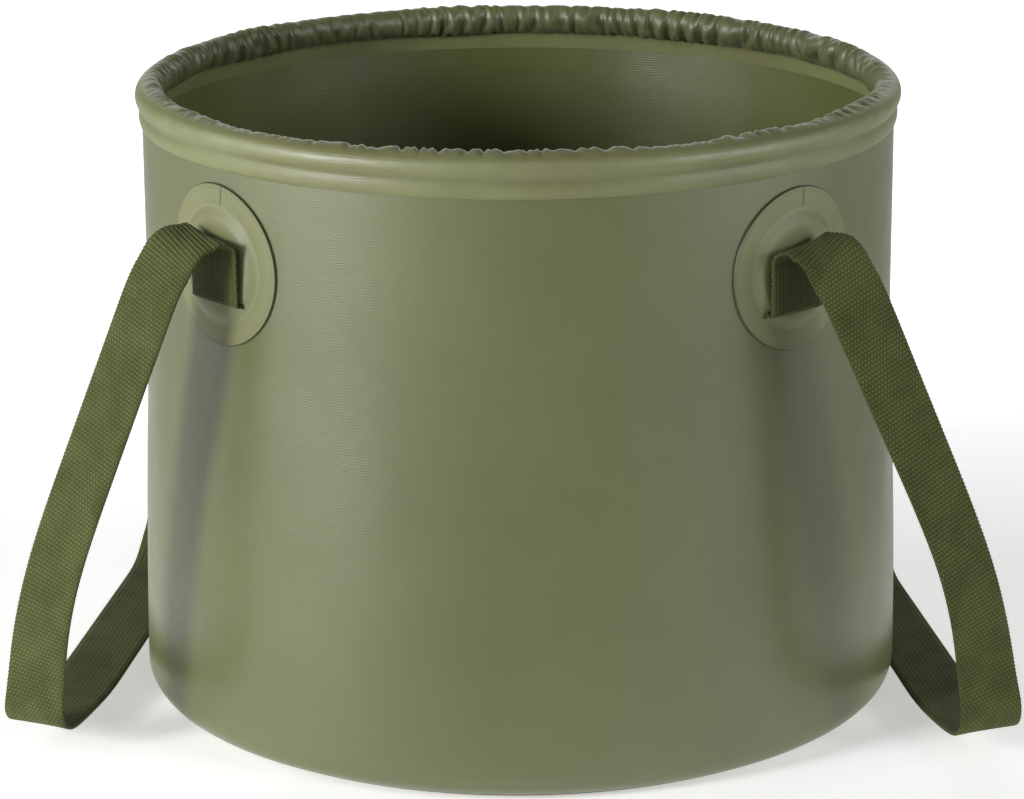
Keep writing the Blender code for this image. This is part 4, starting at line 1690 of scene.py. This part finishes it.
    def relief_tree(self) -> Wiring:
        """Build the tree that raises the ribs across the webbing.

        Returns:
            The tree's wiring.
        """
        wiring, takes, gives = new_tree(
            "webbing_ribs_" + self.side, "GeometryNodeTree",
            {"Geometry": (GEOMETRY, None), "Rib Pitch": (FLOAT, 0.0013), "Rib Height": (FLOAT, 0.0003),
             "Material": (MATERIAL, None)},
            {"Geometry": GEOMETRY})
        turns = wiring.math("DIVIDE", read_attribute(wiring, "along"), takes.outputs["Rib Pitch"])
        rib = wiring.ramp(wiring.math("PINGPONG", turns, 0.5), *self.rib_band)
        height = wiring.times(wiring.math("SUBTRACT", rib, 0.5), takes.outputs["Rib Height"])
        moved = shift_along_normals(wiring, takes.outputs["Geometry"],
                                    wiring.times(height, read_attribute(wiring, "face")))
        finish_tree(wiring, keep_attribute(wiring, moved, "rib", rib), takes, gives)
        return wiring

    def webbing(self, name: str, strip: Strip, tree: Wiring) -> bpy.types.Object:
        """Make a closed piece of webbing along a strip.

        Args:
            name: The piece's name.
            strip: The strip of the left handle.
            tree: The tree that raises the ribs.

        Returns:
            The piece, mirrored for the right handle.
        """
        half, thick = SIZES.webbing_width / 2, SIZES.webbing_thickness / 2
        share = np.linspace(-1.0, 1.0, self.lanes + 1) * (half - thick / 2)
        loop = [(place, 1.0) for place in share] + [(half, 0.0)]
        loop += [(place, -1.0) for place in share[::-1]] + [(-half, 0.0)]
        offset, face = np.array(loop).T
        out = np.cross(strip.wide, directions(strip.line))
        outward = unit(strip.line * np.array((1.0, 1.0, 0.0)))
        drop = strip.curl[:, None] * offset[None] ** 2 / (2 * SIZES.radius)
        points = (strip.line[:, None] + strip.wide[:, None] * offset[None, :, None]
                  + out[:, None] * (face * thick * self.face_share)[None, :, None]
                  - outward[:, None] * drop[..., None])
        points[..., 0] *= self.mirror
        mesh = grid_mesh(name, points, False, True)
        relief = np.choose(np.sign(face).astype(int) + 1,
                           (self.inner_relief, self.edge_relief, self.outer_relief))
        write_masks(mesh, points.shape[:2], along=strip.along[:, None], across=offset + half, face=relief,
                    inner=np.clip(-face, 0, 1))
        item = run_tree(new_piece(name, mesh, 75.0), tree, Rib_Pitch=self.rib_pitch,
                        Rib_Height=self.rib_height, Material=self.wardrobe.made[Slot.WEBBING])
        return self.wardrobe.wear(item, Slot.WEBBING)

    def build(self) -> None:
        """Make the two roots and the loop between them."""
        strip = self.strip()
        tree = self.relief_tree()
        fold = self.corners()[3]
        count = len(strip.along)
        first = strip.along[np.argmin(np.linalg.norm(strip.line[:count // 2] - fold, axis=1))]
        split = first + self.split_past_fold
        end = strip.along[-1]
        step = self.rib_pitch / self.rib_samples
        for label, low, high in (("front", 0.0, split), ("back", end - split, end)):
            root = self.webbing(f"webbing_root_{label}_{self.side}", strip.part(low, high), tree)
            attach(root, Body.ROOTS.value)
            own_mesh(root)
            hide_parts(f"webbing_tail_{label}_{self.side}")
            report(root)
        loop = self.webbing(f"webbing_loop_{self.side}", strip.part(split - step, end - split + step), tree)
        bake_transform(loop)
        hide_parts(f"handle_loop_{self.side}", f"strap_end_front_{self.side}",
                    f"strap_end_back_{self.side}")
        report(loop)


@dataclass(frozen=True)
class SoftBox:
    """A broad flat lamp that looks at the washbasin."""

    name: str
    azimuth: float
    height: float
    distance: float
    width: float
    tall: float
    radiance: float
    aim: float = 0.13

    def build(self) -> None:
        """Make the lamp. Its azimuth is from the camera's side toward the right."""
        data = bpy.data.lights.new(self.name, "AREA")
        data.shape = "RECTANGLE"
        data.size = self.width
        data.size_y = self.tall
        data.energy = self.radiance * math.pi * self.width * self.tall
        lamp = linked(bpy.data.objects.new(self.name, data))
        angle = math.radians(self.azimuth)
        lamp.location = (self.distance * math.sin(angle), -self.distance * math.cos(angle), self.height)
        way = Vector((0.0, 0.0, self.aim)) - lamp.location
        lamp.rotation_euler = way.to_track_quat("-Z", "Y").to_euler()


@dataclass
class Studio:
    """The camera, the lamps and the pale floor.

    The floor glows where the camera sees it, so that it is white, and where the wall mirrors
    it. Left and right of the camera's sight lines the glow is cut. A sight is a slant and a
    start: the line where x or -x is minus their sum, with the slant times y.
    """

    distance: float = 1.6
    elevation: float = 16.0
    side_step: float = 3.0
    aim_height: float = 0.12985
    focal_pixels: float = 3788.0
    image_width: float = 1024.0
    image_height: float = 799.0
    sight_x: float = 519.4
    sight_y: float = 374.6
    roll: float = -0.28
    sensor_width: float = 36.0
    sky: float = 0.03
    floor_size: float = 16.0
    floor_drop: float = 0.0002
    floor_grey: float = 0.92
    floor_roughness: float = 0.9
    near_glow: float = 0.44
    far_glow: float = 0.26
    near_band: tuple[float, float] = (-0.42, -0.06)
    far_band: tuple[float, float] = (0.10, 0.60)
    side_line: tuple[float, float, float] = (-0.857, 0.515, 0.045)
    side_band: tuple[float, float] = (-0.02, 0.06)
    left_sight: tuple[float, float] = (-0.1908, -0.2126)
    right_sight: tuple[float, float] = (-0.0803, -0.2038)
    cut_band: tuple[float, float] = (0.01, 0.20)
    cut_back: tuple[float, float] = (0.20, 0.36)
    cut_side: float = 0.62
    cut_most: float = 0.97
    lamps: tuple[SoftBox, ...] = (
        SoftBox("key_box", -72.0, 0.75, 2.2, 2.2, 2.0, 2.2),
        SoftBox("left_lamp", -50.0, 0.75, 2.2, 0.5, 0.5, 47.0),
        SoftBox("right_lamp", 57.0, 0.75, 2.2, 0.5, 0.5, 16.5),
        SoftBox("right_box", 80.0, 0.7, 2.2, 1.2, 1.6, 2.6),
        SoftBox("back_box", 180.0, 0.9, 2.2, 2.4, 1.6, 1.3),
        SoftBox("top_lamp", 8.0, 1.9, 1.7, 0.9, 0.9, 0.8))

    def build_camera(self) -> None:
        """Make the camera at the photograph's angle, with the small shift of its frame."""
        data = bpy.data.cameras.new("camera")
        data.sensor_width = self.sensor_width
        data.lens = self.focal_pixels / self.image_width * data.sensor_width
        data.shift_x = (self.image_width / 2 - self.sight_x) / self.image_width
        data.shift_y = (self.sight_y - self.image_height / 2) / self.image_width
        camera = linked(bpy.data.objects.new("camera", data))
        away = self.distance * math.cos(math.radians(self.elevation))
        rise = self.distance * math.sin(math.radians(self.elevation))
        side = math.radians(self.side_step)
        camera.location = (away * math.sin(side), -away * math.cos(side), self.aim_height + rise)
        way = Vector((0.0, 0.0, self.aim_height)) - camera.location
        turn = way.to_track_quat("-Z", "Y").to_matrix() @ Matrix.Rotation(math.radians(self.roll), 3, "Z")
        camera.rotation_euler = turn.to_euler()
        bpy.context.scene.camera = camera

    def floor_material(self) -> bpy.types.Material:
        """Make the floor's pale material with its glow.

        Returns:
            The material.
        """
        material, wiring, shader, place = new_material("studio_floor_pale")
        x, y, _ = wiring.parts(place)
        across, back, shift = self.side_line
        beside = wiring.scaled(y, back, wiring.scaled(x, across, shift))
        near_side = wiring.larger(wiring.ramp(y, *self.near_band), wiring.ramp(beside, *self.side_band))
        far_side = wiring.ramp(y, *self.far_band, 0.0, self.far_glow)
        kept = wiring.scaled(near_side, self.near_glow, far_side)
        left_cut = wiring.ramp(y, *self.cut_back, self.cut_side, self.cut_most)
        cuts = ((self.left_sight, -1.0, left_cut), (self.right_sight, 1.0, self.cut_most))
        for (slant, start), way, cut in cuts:
            beyond = wiring.scaled(x, way, wiring.scaled(y, slant, start))
            dark = wiring.times(wiring.ramp(beyond, *self.cut_band), cut)
            kept = wiring.times(kept, wiring.math("SUBTRACT", 1.0, dark))
        wiring.fill(shader, Base_Color=opaque((self.floor_grey,) * 3), Roughness=self.floor_roughness,
                    Emission_Color=opaque((1.0, 1.0, 1.0)), Emission_Strength=kept)
        return material

    def build_floor(self) -> None:
        """Make the plain pale floor."""
        mesh = bpy.data.meshes.new("studio_floor")
        half = self.floor_size / 2
        corners = [(-half, -half, 0), (half, -half, 0), (half, half, 0), (-half, half, 0)]
        mesh.from_pydata(corners, [], [(0, 1, 2, 3)])
        mesh.materials.append(self.floor_material())
        floor = linked(bpy.data.objects.new("studio_floor", mesh))
        floor.location.z = -self.floor_drop

    def build_light(self) -> None:
        """Make the sky and the lamps."""
        world = bpy.data.worlds.new("studio_sky")
        world.use_nodes = True
        wiring = Wiring(world.node_tree)
        wiring.fill(world.node_tree.nodes["Background"], Color=opaque((1.0, 1.0, 1.0)), Strength=self.sky)
        bpy.context.scene.world = world
        for lamp in self.lamps:
            lamp.build()

    def build(self) -> None:
        """Make the studio."""
        scene = bpy.context.scene
        scene.view_settings.view_transform = "Standard"
        scene.view_settings.look = "None"
        self.build_camera()
        self.build_floor()
        self.build_light()


def main() -> None:
    """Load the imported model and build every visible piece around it."""
    logging.basicConfig(level=logging.INFO, format="%(name)s: %(message)s")
    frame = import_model()
    wardrobe = Wardrobe()
    Studio().build()
    Basin(wardrobe).build()
    Rim(wardrobe).build(frame["nodes"])
    for place in Place:
        StrapPatch(wardrobe, place, LEFT_LIE if place.label.endswith("left") else RIGHT_LIE).build()
    Handle(wardrobe, "left", Body.LEFT, 1.0, LEFT_LIE).build()
    Handle(wardrobe, "right", Body.RIGHT, -1.0, RIGHT_LIE).build()


if __name__ == "__main__":
    main()
